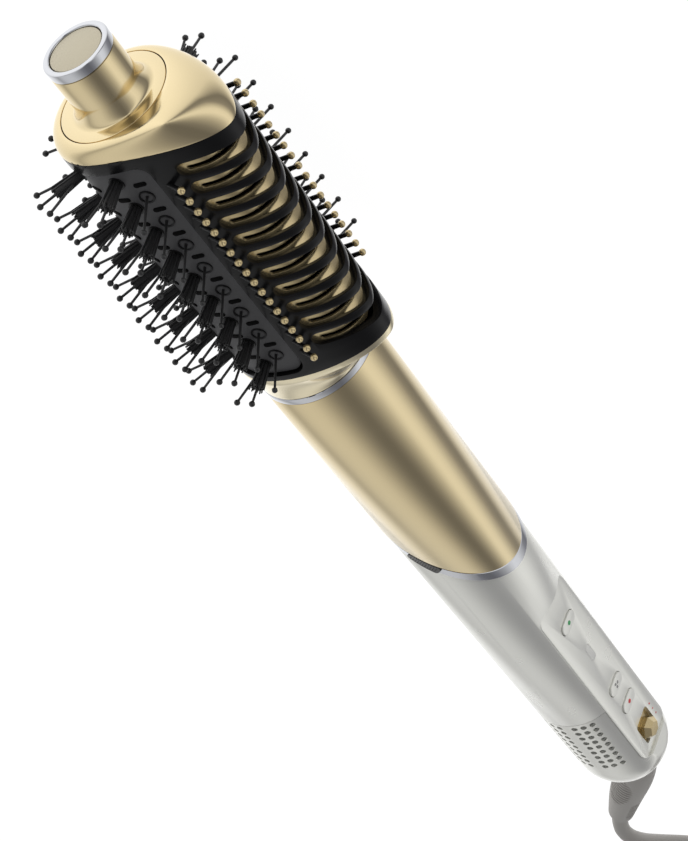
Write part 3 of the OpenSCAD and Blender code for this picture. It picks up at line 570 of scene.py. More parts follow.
def surface(name, base, rough, metallic=0.0, coat=0.0, mottle=0.05, vary=0.04, broad=70, grain=2200,
            depth=0.00002, strength=0.25, stretch=(1, 1, 1), sheen=0.0, coat_rough=0.08, gleam=0.5):
    """
    A finish with a soft change of colour and gloss over the piece and a fine grain in its surface.

    mottle and vary are the change of colour and of roughness, broad and grain the scales of the two
    patterns, depth and strength the grain's relief, and gleam the gloss without a coat.
    """
    material = bpy.data.materials.new(name + "_finish")
    material.use_nodes = True
    tree = material.node_tree
    shader = tree.nodes["Principled BSDF"]
    plain = {"Metallic": metallic, "Coat Weight": coat, "Coat Roughness": coat_rough, "Sheen Weight": sheen,
             "Specular IOR Level": gleam}
    for socket, value in plain.items():
        shader.inputs[socket].default_value = value
    place = node(tree, "ShaderNodeTexCoord").outputs["Object"]
    mapped = node(tree, "ShaderNodeMapping", Vector=place, Scale=stretch).outputs["Vector"]
    cloud = node(tree, "ShaderNodeTexNoise", Vector=mapped, Scale=broad, Detail=3.0).outputs["Fac"]
    fine = node(tree, "ShaderNodeTexNoise", Vector=mapped, Scale=grain, Detail=2.0).outputs["Fac"]
    tint = mixed(tree, cloud, shade(base, 1 - mottle), shade(base, 1 + mottle))
    gloss = node(tree, "ShaderNodeMapRange", Value=cloud, To_Min=rough - vary, To_Max=rough + vary)
    bump = node(tree, "ShaderNodeBump", Height=fine, Strength=strength, Distance=depth)
    tree.links.new(tint, shader.inputs["Base Color"])
    tree.links.new(gloss.outputs["Result"], shader.inputs["Roughness"])
    tree.links.new(bump.outputs["Normal"], shader.inputs["Normal"])
    return material


def brushed_disc(base):
    """Beige paint with fine brushing that runs out from the disc's middle."""
    material = surface("brushed_disc", base, 0.42, metallic=0.55, mottle=0.04)
    tree = material.node_tree
    shader = tree.nodes["Principled BSDF"]
    place = node(tree, "ShaderNodeTexCoord").outputs["Object"]
    parts = node(tree, "ShaderNodeSeparateXYZ", Vector=place).outputs
    turn = arithmetic(tree, "ARCTAN2", parts["Z"], parts["Y"])
    streak = node(tree, "ShaderNodeTexNoise", Scale=38.0, Detail=4.0)
    streak.noise_dimensions = "1D"
    tree.links.new(turn, streak.inputs["W"])
    fan = node(tree, "ShaderNodeMapRange", Value=streak.outputs["Fac"], From_Min=0.3, From_Max=0.7)
    tint = mixed(tree, fan.outputs["Result"], shade(base, 0.86), shade(base, 1.14))
    tree.links.new(tint, shader.inputs["Base Color"])
    return material


def finishes():
    """All materials by name."""
    c = bpy.context.scene.styler_colours
    made = [
        surface("gold_paint", c.gold, 0.19, metallic=1.0, coat=0.3, mottle=0.02, grain=5200, depth=0.000006,
                strength=0.1),
        surface("pale_gold_paint", c.pale_gold, 0.18, metallic=0.95, coat=0.3, mottle=0.02, grain=5200,
                depth=0.000006),
        surface("polished_gold", c.gold, 0.11, metallic=1.0, coat=0.2, mottle=0.02, vary=0.02, grain=3000,
                depth=0.000006, strength=0.04),
        surface("gold_gloss", c.bright_gold, 0.24, metallic=0.85, coat=0.3, mottle=0.05),
        surface("pearl_paint", c.pearl, 0.28, metallic=0.6, coat=0.2, mottle=0.015, vary=0.02, grain=6000,
                depth=0.000005, strength=0.08, coat_rough=0.15),
        surface("button_plastic", c.pearl, 0.34, metallic=0.4, coat=0.2, mottle=0.015, grain=4800,
                depth=0.000008),
        surface("chrome_plate", c.chrome, 0.07, metallic=1.0, mottle=0.02, vary=0.02, strength=0.05),
        surface("black_satin", c.black, 0.22, mottle=0.15, grain=3000, gleam=0.22),
        surface("black_plastic", c.black, 0.4, mottle=0.2, grain=1800, strength=0.4, gleam=0.3),
        surface("lock_plastic", (0.085, 0.083, 0.08), 0.4, mottle=0.08, grain=1800),
        # Near-black matt paint that stands for the shade inside the pad's holes
        surface("painted_hole_shade", (0.002, 0.002, 0.002), 0.8, mottle=0.2, gleam=0.08),
        surface("pad_rubber", c.pad, 0.55, mottle=0.08, grain=1500, strength=0.4, gleam=0.3),
        surface("bristle_nylon", c.nylon, 0.42, mottle=0.3, broad=400, grain=2600, strength=0.5),
        surface("cord_rubber", c.cord, 0.55, mottle=0.04, grain=1700, strength=0.4, sheen=0.05),
        surface("tie_plastic", c.black, 0.4, mottle=0.2, grain=1200, strength=0.5),
        surface("copper_wire", c.copper, 0.3, metallic=1.0, mottle=0.12, grain=900),
        surface("plain_steel", c.steel, 0.28, metallic=1.0, mottle=0.06, grain=1500, stretch=(1, 4, 4)),
        surface("blade_metal", c.steel, 0.2, metallic=1.0, mottle=0.04, grain=1500, stretch=(0.3, 3, 3)),
        surface("mica_sheet", c.mica, 0.5, mottle=0.25, broad=260, grain=900, strength=0.5),
        surface("heater_wire", c.steel, 0.4, metallic=1.0, mottle=0.15),
        surface("board_laminate", c.board, 0.35, coat=0.4, mottle=0.12, broad=500),
        surface("mount_rubber", c.black, 0.7, mottle=0.2, grain=1000, strength=0.5),
        surface("red_mark", (0.62, 0.03, 0.03), 0.4, mottle=0.05),
        surface("pink_mark", (0.62, 0.20, 0.19), 0.45, mottle=0.05),
        surface("green_mark", (0.03, 0.33, 0.10), 0.4, mottle=0.05),
        surface("grey_mark", (0.24, 0.24, 0.235), 0.5, mottle=0.05),
        surface("window_plastic", (0.66, 0.66, 0.63), 0.3, coat=0.3, mottle=0.03),
        brushed_disc(c.disc),
    ]
    return {material.name.removesuffix("_finish"): material for material in made}


FINISHES = {}


def finish_of(name):
    """A material, made with all the others when first asked for."""
    if not FINISHES:
        FINISHES.update(finishes())
    return FINISHES[name]


def complete(piece, name, body, slot, stands_for=(), finish=None, angle=35):
    """Brings a piece to metres, shades it, paints it and gives it to its body."""
    select_only(piece)
    piece.scale = (MM, MM, MM)
    bpy.ops.object.transform_apply()
    bpy.ops.object.shade_smooth_by_angle(angle=radians(angle))
    piece.name = piece.data.name = name
    piece.data.materials.clear()
    piece.data.materials.append(finish_of(finish or slot))
    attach(piece, body)
    if stands_for:
        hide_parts(*stands_for)
    return piece


# Stage

# The photo's viewpoint: the camera's place in metres, its axes and its lens
CAMERA_PLACE = Vector((0.44544, -0.41573, 0.32388))
CAMERA_RIGHT = Vector((-0.467353, -0.805287, -0.364820))
CAMERA_UP = Vector((0.577700, 0.034190, -0.815533))
CAMERA_BACK = Vector((0.669212, -0.591898, 0.449235))
CAMERA_LENS = 95.37

# Studio light round the styler's axis: degrees from +Y towards +Z, and brightness
LIGHT_ROUND = [
    (-180, 0.82), (-170, 1.0), (-157, 0.93), (-143, 0.64), (-128, 0.32), (-111, 0.23), (-89, 0.9),
    (-37, 1.3), (15, 1.0), (37, 0.5), (54, 0.72), (69, 0.77), (83, 0.74), (96, 0.6), (108, 0.42),
    (120, 0.27), (131, 0.19), (143, 0.175), (154, 0.26), (166, 0.46), (178, 0.73), (180, 0.82),
]
BRIGHTEST = 1.3
DIM = 0.35
DIM_BLUE = 1.06
FLOOR_GLOW = 0.97
FLOOR_SIDE = 12


class STYLER_OT_stage(Operator):
    """Sets up the camera, the pale floor and the soft studio light"""

    bl_idname = "styler.stage"
    bl_label = "Stage"

    def execute(self, context):
        bpy.ops.object.camera_add()
        camera = context.object
        camera.name = "camera"
        camera.data.lens = CAMERA_LENS
        camera.data.sensor_width = 36
        camera.data.sensor_fit = "AUTO"
        camera.data.clip_start = 0.01
        camera.data.clip_end = 50
        camera.matrix_world = axes_at(CAMERA_PLACE, CAMERA_RIGHT, CAMERA_UP, CAMERA_BACK)
        context.scene.camera = camera
        self.light_world(context)
        self.lay_floor()
        context.scene.view_settings.view_transform = "Standard"
        return {"FINISHED"}

    def light_world(self, context):
        """A white backdrop and soft bands of light and shade round the styler."""
        world = bpy.data.worlds.new("studio")
        context.scene.world = world
        world.use_nodes = True
        tree = world.node_tree
        tree.nodes.clear()
        way = node(tree, "ShaderNodeTexCoord").outputs["Generated"]
        parts = node(tree, "ShaderNodeSeparateXYZ", Vector=way).outputs
        turn = arithmetic(tree, "ARCTAN2", parts["Z"], parts["Y"])
        share = node(tree, "ShaderNodeMapRange", Value=turn, From_Min=-pi, From_Max=pi)
        ramp = node(tree, "ShaderNodeValToRGB", Fac=share.outputs["Result"])
        stops = ramp.color_ramp.elements
        while len(stops) < len(LIGHT_ROUND):
            stops.new(0.5)
        for stop, (angle, _) in zip(stops, LIGHT_ROUND):
            stop.position = (angle + 180) / 360
        for stop, (_, level) in zip(stops, LIGHT_ROUND):
            grey = level / BRIGHTEST
            stop.color = (grey, grey, min(1, grey * (DIM_BLUE if level < DIM else 1)), 1)
        soft = node(tree, "ShaderNodeBackground", Color=ramp.outputs["Color"], Strength=BRIGHTEST)
        white = node(tree, "ShaderNodeBackground", Color=(1, 1, 1, 1), Strength=1.0)
        seen = node(tree, "ShaderNodeLightPath").outputs["Is Camera Ray"]
        both = node(tree, "ShaderNodeMixShader", Fac=seen, _1=soft.outputs[0], _2=white.outputs[0])
        node(tree, "ShaderNodeOutputWorld", Surface=both.outputs[0])

    def lay_floor(self):
        """A pale floor that stays white in the picture and takes a faint shadow."""
        bpy.ops.mesh.primitive_plane_add(size=FLOOR_SIDE, location=(0, 0, FLOOR_Z * MM))
        floor = bpy.context.object
        floor.name = "floor"
        floor.visible_glossy = False
        material = bpy.data.materials.new("pale_floor")
        material.use_nodes = True
        tree = material.node_tree
        tree.nodes.clear()
        glow = node(tree, "ShaderNodeEmission", Color=(1, 1, 1, 1), Strength=FLOOR_GLOW)
        matt = node(tree, "ShaderNodeBsdfDiffuse", Color=(0.16, 0.16, 0.16, 1))
        both = node(tree, "ShaderNodeAddShader", _0=glow.outputs[0], _1=matt.outputs[0])
        node(tree, "ShaderNodeOutputMaterial", Surface=both.outputs[0])
        floor.data.materials.append(material)


# Lead


def round_coil(turns, radius, z):
    """A point round the coil's middle; turns count from its +Y side."""
    angle = pi / 2 + 2 * pi * turns
    return Vector((COIL_X + radius * cos(angle), COIL_Y + radius * sin(angle), z))


def coil_point(t):
    """The coil spirals in and out through four layers; t counts turns."""
    level = sum(smooth(2 * (t - k * COIL_TURNS) + 0.5) for k in (1, 2, 3))
    u = t / COIL_TURNS
    w = u - 2 * int(u / 2)
    radius = COIL_OUTER - (COIL_OUTER - COIL_INNER) * (w if w < 1 else 2 - w)
    return round_coil(t, radius, COIL_Z + LAYER_PITCH * level)


def drop_point(u):
    """The last half turn comes down outside the coil to the plug."""
    radius = COIL_OUTER + (DROP_RADIUS - COIL_OUTER) * smooth(u / 0.45)
    return round_coil(u / 2, radius, COIL_TOP + (PLUG_Z - COIL_TOP) * smooth((u - 0.1) / 0.9))


def lead_route():
    """Points along the whole lead, from the boot's end to the plug."""
    run = [Vector(p) for p in LEAD_POINTS] + [coil_point(0)]
    free = [through(run, k / FREE_POINTS) for k in range(FREE_POINTS)]
    wound = [coil_point(k / TURN_POINTS) for k in range(int(4 * COIL_TURNS * TURN_POINTS) + 1)]
    drop = [drop_point(2 * k / TURN_POINTS) for k in range(1, TURN_POINTS // 2 + 1)]
    return free + wound + drop + [drop_point(1) + mm("cord_diameter") * ALONG]


class STYLER_OT_lead(Operator):
    """Makes the mains lead with its coil, tie, plug and blades"""

    bl_idname = "styler.lead"
    bl_label = "Lead"

    def execute(self, context):
        diameter = mm("cord_diameter")
        route = lead_route()
        lead = hose(route, lambda j, angle: diameter / 2, 16, low=FLOOR_Z + 0.05)
        lead = complete(lead, "mains_lead", "handle", "cord_rubber", ["cord_lead", "cord_coil"], angle=60)
        tie = self.tie()
        plug = self.plug()
        blades = self.blades()
        length = sum((b - a).length for a, b in zip(route, route[1:]))
        return {"FINISHED"}

    def tie(self):
        """A strap round the inner side of the coil."""
        half, width = mm("cord_diameter") / 2, 6
        inner, outer, top = COIL_X + COIL_INNER - half, COIL_X + COIL_OUTER + half, COIL_TOP + half + 0.3
        strap = rounded_outline(inner - 1, FLOOR_Z, outer + 1, top + 1, 4)
        inside = rounded_outline(inner, FLOOR_Z + 0.5, outer, top, 3)
        piece = prism(strap, COIL_Y - width, COIL_Y + width)
        cut(piece, prism(inside, COIL_Y - width - 1, COIL_Y + width + 1))
        rounded_edges(piece, 0.25, angle=50)
        return complete(piece, "lead_tie", "handle", "tie_plastic", ["cord_tie"])

    def plug(self):
        """A moulded plug: a ribbed tail and a body with grooves for the fingers."""
        thin, thick, tail_length = 4.1, 5.7, 20.5
        ribs = [(0, 0), (0, thin)]
        for k in range(7):
            x = 2.2 + 2.4 * k
            radius = thin + (thick - thin) * x / 20
            groove = radius - 0.5
            ribs += [(x, radius), (x + 0.35, groove), (x + 1.25, groove), (x + 1.6, radius + 0.1)]
        tail = turned(ribs + [(tail_length, thick), (tail_length, 0)], 48)
        tail.data.transform(PLUG_PLACE)
        body = block((tail_length - 1, -13, -7), (BLADE_START, 13, 7), PLUG_PLACE)
        rounded_edges(body, 3, segments=5)
        grips = [
            block((27 + 3.2 * k, y - 0.6, -4.5), (28.4 + 3.2 * k, y + 0.7, 4.5), PLUG_PLACE)
            for y in (-12.4, 12.4) for k in range(6)
        ]
        cut(body, joined(grips))
        return complete(joined([tail, body]), "mains_plug", "handle", "cord_rubber", ["plug_body"])

    def blades(self):
        """Two flat blades with round eyes and chamfered ends."""
        made = []
        for y in (-6.35, 6.35):
            blade = block((BLADE_START, y - 0.75, -3.15), (BLADE_START + 17.5, y + 0.75, 3.15), PLUG_PLACE)
            bpy.ops.mesh.primitive_cylinder_add(
                vertices=32, radius=1.3, depth=4, location=PLUG_PLACE @ Vector((BLADE_START + 14, y, 0)),
                rotation=(pi / 2, 0, 0))
            cut(blade, bpy.context.object)
            made.append(rounded_edges(blade, 0.3, angle=60))
        return complete(joined(made), "plug_blades", "handle", "blade_metal", ["plug_pins"])


class STYLER_OT_boot(Operator):
    """Makes the strain relief with its ribbed grips"""

    bl_idname = "styler.boot"
    bl_label = "Lead boot"

    def execute(self, context):
        line = [Vector(p) for p in BOOT_PATH]
        radii = [radius * ALONG for radius in BOOT_RADII]
        points = [through(line, k / BOOT_RINGS) for k in range(BOOT_RINGS + 1)]
        travelled = [0.0]
        for a, b in zip(points, points[1:]):
            travelled.append(travelled[-1] + (b - a).length)
        total = travelled[-1]

        def off_by(angle, middle):
            return (degrees(angle) - middle + 180) % 360 - 180

        def ripple(j, angle):
            way = travelled[j]
            share = way / total
            wave = smooth(0.2 - 0.9 * cos(2 * pi * way / RIB_PITCH))
            # Oval grips on the two flanks, over the middle third
            u = (share - 0.50) / 0.20
            v = min(abs(off_by(angle, side * GRIP_TURN)) for side in (-1, 1)) / 44
            grip = smooth((1 - u * u - v * v) * 4)
            # Cross ribs on the side that faces the controls, near the end
            back = off_by(angle, 0) / 60
            near = smooth((0.30 - abs(share - 0.80) * 2.2) * total / 2) * smooth((1 - back * back) * 4)
            radius = through(radii, j / BOOT_RINGS).x - rounding(total - way, 1.2)
            return radius - RIB_DEPTH * wave * max(grip, near)

        boot = hose(points, ripple, 72)
        complete(boot, "lead_boot", "handle", "cord_rubber", ["cord_boot"], angle=50)
        return {"FINISHED"}


# Barrel and twist joint


class STYLER_OT_barrel(Operator):
    """Makes the golden barrel and the bright ring at its mouth"""

    bl_idname = "styler.barrel"
    bl_label = "Barrel"

    def execute(self, context):
        outer = mm("barrel_radius")
        inner = outer - mm("barrel_wall")
        barrel = bisected(rod(JOINT_X - REACH, 0, outer), SEAM)
        cut(barrel, rod(JOINT_X - REACH - 10, 10, inner))
        rounded_edges(barrel, 0.22)
        complete(barrel, "barrel_casing", "barrel", "gold_paint", ["barrel_tube"])
        ring = band_ring(0.02, MOUTH_RING, MOUTH_BORE, outer + 0.1)
        rounded_edges(ring, 0.45, segments=4)
        complete(ring, "mouth_ring", "barrel", "chrome_plate", ["barrel_ring"], angle=12)
        return {"FINISHED"}


def lock_notch():
    """The place in the ring and the handle where the lock sits."""
    return block((-4.05, -7.45, 14.4), (1.4, 4.85, 24.4), JOINT_FRAME)


class STYLER_OT_twist_joint(Operator):
    """Makes the slanted bright ring and the ribbed lock beside it"""

    bl_idname = "styler.twist_joint"
    bl_label = "Twist joint"

    def execute(self, context):
        ring = rod(JOINT_X - REACH, JOINT_X + REACH, RING_RADIUS)
        bisected(bisected(ring, -RING_FAR), -SEAM, False)
        cut(ring, rod(JOINT_X - REACH - 10, JOINT_X + REACH + 10, SHELL_BORE), lock_notch())
        rounded_edges(ring, 0.3, segments=3)
        complete(ring, "joint_band", "handle", "chrome_plate", ["joint_ring"], angle=12)
        self.lock()
        return {"FINISHED"}

    def lock(self):
        """A small curved slider with fine ribs across it."""
        columns, rows = 12, 78
        (x_low, y_low), (x_high, y_high) = (-3.9, -7.3), (-0.45, 4.7)
        corner, pitch, depth, face = 1.2, 0.92, 0.32, 20.02

        def place(i, j):
            y = y_low + (y_high - y_low) * j / rows
            edge = min(y - y_low, y_high - y)
            inwards = 0.8 * rounding(edge, corner)
            x = x_low + inwards + (x_high - x_low - 2 * inwards) * i / columns
            point = JOINT_X * ALONG + x * JOINT_NORMAL + y * JOINT_ACROSS
            rib = depth * (0.5 - 0.5 * cos(2 * pi * (y - y_low) / pitch)) * smooth((edge - 0.8) / 0.5)
            rib *= smooth(min(i, columns - i) / 2)
            point.z = sqrt((face - rib) ** 2 - point.y ** 2)
            return point

        lock = merged([patch(columns, rows, place)])
        wall(lock, 0.9)
        rounded_edges(lock, 0.15, angle=60)
        complete(lock, "twist_lock", "lock", "black_plastic", ["lock_button"], finish="lock_plastic",
                 angle=50)


# Handle, controls and intake


def handle_radius(x):
    """The handle narrows slightly towards its end."""
    return 19.35 + 1.2 * (x + 110) / 200


def panel_opening(grow):
    """A cutter with the control panel's outline."""
    edge = PANEL_EDGE + grow
    return prism(rounded_outline(DOME_X - grow, -edge, PANEL_TOP + grow, edge, 5), -40, PANEL_BACK + 1)


class STYLER_OT_handle(Operator):
    """Makes the pearl handle shell"""

    bl_idname = "styler.handle"
    bl_label = "Handle"

    def execute(self, context):
        top = JOINT_X + 29
        shell = bisected(rod(SLEEVE_X, top, handle_radius(SLEEVE_X), handle_radius(top)), -RING_FAR, False)
        cut(shell, rod(SLEEVE_X - 10, top + 10, SHELL_BORE), panel_opening(0.08), lock_notch())
        rounded_edges(shell, 0.14)
        complete(shell, "handle_casing", "handle", "pearl_paint", ["handle_shell"])
        return {"FINISHED"}


class STYLER_OT_controls(Operator):
    """Makes the control panel, its three buttons, the light window and the slide knob"""

    bl_idname = "styler.controls"
    bl_label = "Controls"

    def execute(self, context):
        self.panel()
        keys = (("power", POWER_X, "green_mark"), ("fan", FAN_X, None), ("heat", HEAT_X, "red_mark"))
        for key, x, mark in keys:
            body = f"{key}_key"
            button = prism(pill(x, *BUTTON), BUTTON_Y, PANEL_BACK)
            rounded_edges(button, 0.42, segments=4, angle=60)
            complete(button, f"{key}_push_button", body, "button_plastic", [f"{key}_button"])
            if mark:
                self.dot(x, 0, 0.85, BUTTON_Y, mark, f"{body}_dot", body)
            else:
                self.fan_mark(x, body)
        window = prism(pill(LED_X, *LAMP, steps=10), FLAT_Y - 0.02, PANEL_BACK)
        rounded_edges(window, 0.1, angle=60)
        complete(window, "light_window", "handle", "button_plastic", ["led_window"],
                 finish="window_plastic")
        for k, mark in enumerate(("red_mark", "pink_mark", "pink_mark")):
            self.dot(DOTS_X - 3.4 * k, DOTS_Z, 0.4, FLAT_Y, mark, f"heat_dot_{k}", "handle")
        self.knob()
        return {"FINISHED"}

    def panel(self):
        """The flat with its drooping edges, cut to its outline and opened for the controls."""
        edge, slope, droop = PANEL_EDGE, 9.9, FLAT_Y + 0.12
        section = [(-edge, droop), (-slope, FLAT_Y), (slope, FLAT_Y), (edge, droop),
                   (edge, PANEL_BACK), (-edge, PANEL_BACK)]
        panel = prism(section, DOME_X, PANEL_TOP, axis="X")
        cut(panel, panel_opening(0), operation="INTERSECT")
        openings = [pill(x, *BUTTON, grow=BUTTON_GAP) for x in (POWER_X, FAN_X, HEAT_X)]
        openings.append(pill(LED_X, *LAMP, grow=LAMP_GAP, steps=10))
        openings.append(rounded_outline(SLIDE_X - 3.9, -5.15, SLIDE_X + 7.9, 5.15, 1.5))
        for opening in openings:
            cut(panel, prism(opening, -25, -5))
        rounded_edges(panel, 0.22, segments=3, angle=25)
        complete(panel, "control_plate", "handle", "pearl_paint", ["control_panel"])

    def dot(self, x, z, radius, y, mark, name, body):
        """A small printed spot, just proud of its face."""
        bpy.ops.mesh.primitive_cylinder_add(
            vertices=24, radius=radius, depth=0.12, location=(x, y - 0.02, z), rotation=(pi / 2, 0, 0))
        bpy.ops.object.transform_apply()
        complete(bpy.context.object, name, body, "button_plastic", finish=mark)

    def fan_mark(self, x, body):
        """Three plain blades."""
        parts = []
        for k in range(3):
            turn = 2 * pi * k / 3 + 0.4
            outline = [
                (x + r * cos(turn + t), r * sin(turn + t))
                for r, t in ((0.3, 0.0), (1.1, -0.45), (1.6, 0.1), (1.5, 0.6), (0.9, 0.7), (0.35, 0.8))
            ]
            parts.append(prism(outline, BUTTON_Y - 0.06, BUTTON_Y + 0.02))
        complete(joined(parts), "fan_mark", body, "button_plastic", finish="grey_mark")

    def knob(self):
        """The golden knob, a hexagon that narrows upwards, over a golden sliding plate."""
        corners = ((1, 0.45), (0, 1), (-1, 0.45), (-1, -0.45), (0, -1), (1, -0.45))
        outline = [(SLIDE_X + 3.69375 * u, 4.925 * v) for u, v in corners]
        waist, narrowed = FLAT_Y - 0.4, 0.63
        knob = prism(outline, waist, FLAT_Y + 1.6)
        top = prism(outline, FLAT_Y - 2.6, waist)
        for vertex in top.data.vertices:
            if vertex.co.y < waist - 1:
                vertex.co.x = SLIDE_X + (vertex.co.x - SLIDE_X) * narrowed
                vertex.co.z *= narrowed
        cut(knob, top, operation="UNION")
        rounded_edges(knob, 0.22, angle=20)
        complete(knob, "slide_knob", "temperature_slide", "gold_gloss", ["slide_switch"], angle=25)
        plate = block((SLIDE_X - 5.6, FLAT_Y + 1.65, -5.6), (SLIDE_X + 9.4, PANEL_BACK + 0.9, 5.6))
        rounded_edges(plate, 0.3)
        complete(plate, "slide_plate", "temperature_slide", "gold_gloss")


class STYLER_OT_intake(Operator):
    """Makes the rear sleeve with its rows of air holes and its rounded end"""

    bl_idname = "styler.intake"
    bl_label = "Intake sleeve"

    def execute(self, context):
        columns, straight, bend = 180, 20, 16
        front = SLEEVE_X - SEAM
        flat = FLAT_Y - 0.9

        def place(i, j):
            angle = 2 * pi * i / columns
            if j <= straight:
                x = front + (DOME_X - front) * j / straight
                radius = handle_radius(x)
            else:
                turn = asin(DOME_LENGTH / DOME_AXIS) * (j - straight) / bend
                x = DOME_X - DOME_AXIS * sin(turn)
                radius = handle_radius(DOME_X) * cos(turn)
            return x, max(radius * cos(angle), flat), radius * sin(angle)

        sleeve = merged([patch(columns, straight + bend, place)])
        self.close_end(sleeve)
        wall(sleeve, 1.3)
        radius = 9.6
        boot_hole = [
            (radius * sin(radians(a)), (5.6 if a <= 90 else -0.2) + radius * cos(radians(a)))
            for a in range(-90, 270, 6)
        ]
        cut(sleeve, prism(boot_hole, -266, -249, axis="X"))
        edge = PANEL_EDGE + 0.15
        opening = rounded_outline(DOME_X + 0.2, -edge, SLEEVE_X + 20, edge, 5)
        cut(sleeve, prism(opening, -40, -8), self.holes())
        complete(sleeve, "intake_casing", "intake", "pearl_paint", ["intake_sleeve"], angle=30)
        return {"FINISHED"}

    def close_end(self, sleeve):
        """Fills the small round end and makes all faces look outwards."""
        last = min(vertex.co.x for vertex in sleeve.data.vertices)
        select_only(sleeve)
        bpy.context.tool_settings.mesh_select_mode = (False, True, False)
        for part in (*sleeve.data.vertices, *sleeve.data.edges, *sleeve.data.polygons):
            part.select = False
        for edge in sleeve.data.edges:
            ends = [sleeve.data.vertices[k].co.x for k in edge.vertices]
            edge.select = max(ends) < last + 0.01
        bpy.ops.object.mode_set(mode="EDIT")
        bpy.ops.mesh.edge_face_add()
        bpy.ops.mesh.select_all(action="SELECT")
        bpy.ops.mesh.normals_make_consistent(inside=False)
        leave()

    def holes(self):
        """Countersunk cutters, three by nine in each group."""
        radius = mm("hole_radius")
        cutter = turned([(-4, 0), (-4, radius), (-0.16, radius), (0.4, radius + 0.56), (0.4, 0)], 20)
        places = []
        for side, group, step, row in product((-1, 1), HOLE_GROUPS, (-1, 0, 1), range(HOLE_ROWS)):
            x = SLEEVE_X - HOLE_FIRST - HOLE_PITCH * row
            angle = side * radians(group + step * HOLE_STEP)
            out = Vector((0, -cos(angle), sin(angle)))
            places.append(axes_at(x * ALONG + handle_radius(x) * out, out, ALONG, out.cross(ALONG)))
        return outward(copies(cutter, places))


# Brush head


class STYLER_OT_collar(Operator):
    """Makes the pale collar that widens from the mouth to the head's rim"""

    bl_idname = "styler.collar"
    bl_label = "Collar"

    def execute(self, context):
        columns, rows = 144, 14
        lift = RIM_X - 2 - COLLAR_START

        def place(i, j):
            a = angle_at(2 * HALF * i / columns)
            y, z = head_point(a)
            if j == rows:
                return RIM_X - 0.02, y, z
            u = j / (rows - 1)
            circle = mm("barrel_radius") / hypot(y, z)
            scale = circle + (1 - circle) * u ** 1.6
            return COLLAR_START + lift * u, y * scale, z * scale

        collar = merged([patch(columns, rows, place)], flip=True)
        wall(collar, 1.5)
        rounded_edges(collar, 0.25, angle=50)
        complete(collar, "head_neck", "brush_head", "pale_gold_paint", ["head_collar"], angle=50)
        return {"FINISHED"}


def vent_wall(inset, thickness, width, slot_end, side_end, first_line, last_line, recess=0.0, crown=0.0,
              sunk=0.0, shift=0.0):
    """
    The skin with curved slots that wraps the vent side.

    first_line and last_line give the lower and upper edge for a height Y. Each slot has round ends
    slot_end along the outline, and the skin goes on to side_end without slots. The ribs between the
    slots lie recess under the skin and rise by crown in their middles. The whole skin lies sunk
    deeper at the middle of the vents, and its slots stand shift nearer the tip.
    """
    half_width = width / 2
    rounds = [half_width * (1 - cos(radians(t))) for t in range(0, 90, 15)]
    middle = spread(-(slot_end - half_width), slot_end - half_width, 1.6)
    slots = [-slot_end + r for r in rounds] + middle + [slot_end - r for r in reversed(rounds)]
    low_corner, high_corner = WINDOW_LOW + WINDOW_CORNER, WINDOW_HIGH - WINDOW_CORNER

    def lines(s):
        """Lower edge, the slots' middles from the lowest up, upper edge."""
        y = outline_y(s)
        drawn = dip(y if abs(s) < slot_end else outline_y(slot_end))
        part = min(max((abs(s) - slot_end) / (side_end - slot_end), 0), 1)
        mids = []
        for k in range(VENTS):
            x = VENT_FIRST + shift - VENT_PITCH * k - drawn
            target = high_corner + (low_corner - high_corner) * k / (VENTS - 1)
            mids.append(x + (target - x) * part)
        return [first_line(y), *reversed(mids), last_line(y)]

    def relief(s, u):
        """How deep a rib's face lies under the skin, across its width."""
        return smooth((slot_end - abs(s)) / 3.5) * (recess - crown * 4 * u * (1 - u))

    parts = []
    sides = spread(slot_end, side_end, 1.6)
    zones = [(slots, True), (sides, False), ([-s for s in reversed(sides)], False)]
    for (columns, slotted), k in product(zones, range(VENTS + 1)):
        between = 0 < k < VENTS
        rows = 5 if between else 3
        is_rib = between and slotted

        def place(i, j):
            s = columns[i]
            edges = lines(s)
            gap = half_width - rounding(slot_end - abs(s), half_width) if slotted else 0
            low = edges[k] + (gap if k > 0 else 0)
            high = edges[k + 1] - (gap if k < VENTS else 0)
            depth = inset + sunk * smooth(1 - abs(s) / SUNK_TO) + (relief(s, j / rows) if is_rib else 0)
            return low + (high - low) * j / rows, *head_point(angle_at(s), depth)

        def weight(i, j):
            return 1 - (relief(columns[i], j / rows) if is_rib else 0) / thickness

        parts.append(patch(len(columns) - 1, rows, place, weight))
    return parts


def window_edge(y, shrink=0.0):
    """How far the window's round corner draws its edge in at a height Y."""
    return rounding(y - WINDOW_Y - shrink, WINDOW_CORNER)


def window_columns(start):
    """Places along the outline that follow the window's round corners, across the bristle side."""
    corner = [length_to(outline_y(start) + WINDOW_CORNER * (1 - cos(radians(t)))) for t in range(0, 90, 15)]
    corner[0] = start
    inner = length_to(outline_y(start) + WINDOW_CORNER)
    middle = spread(inner, 2 * HALF - inner, 1.8)
    return corner + middle + [2 * HALF - s for s in reversed(corner)]


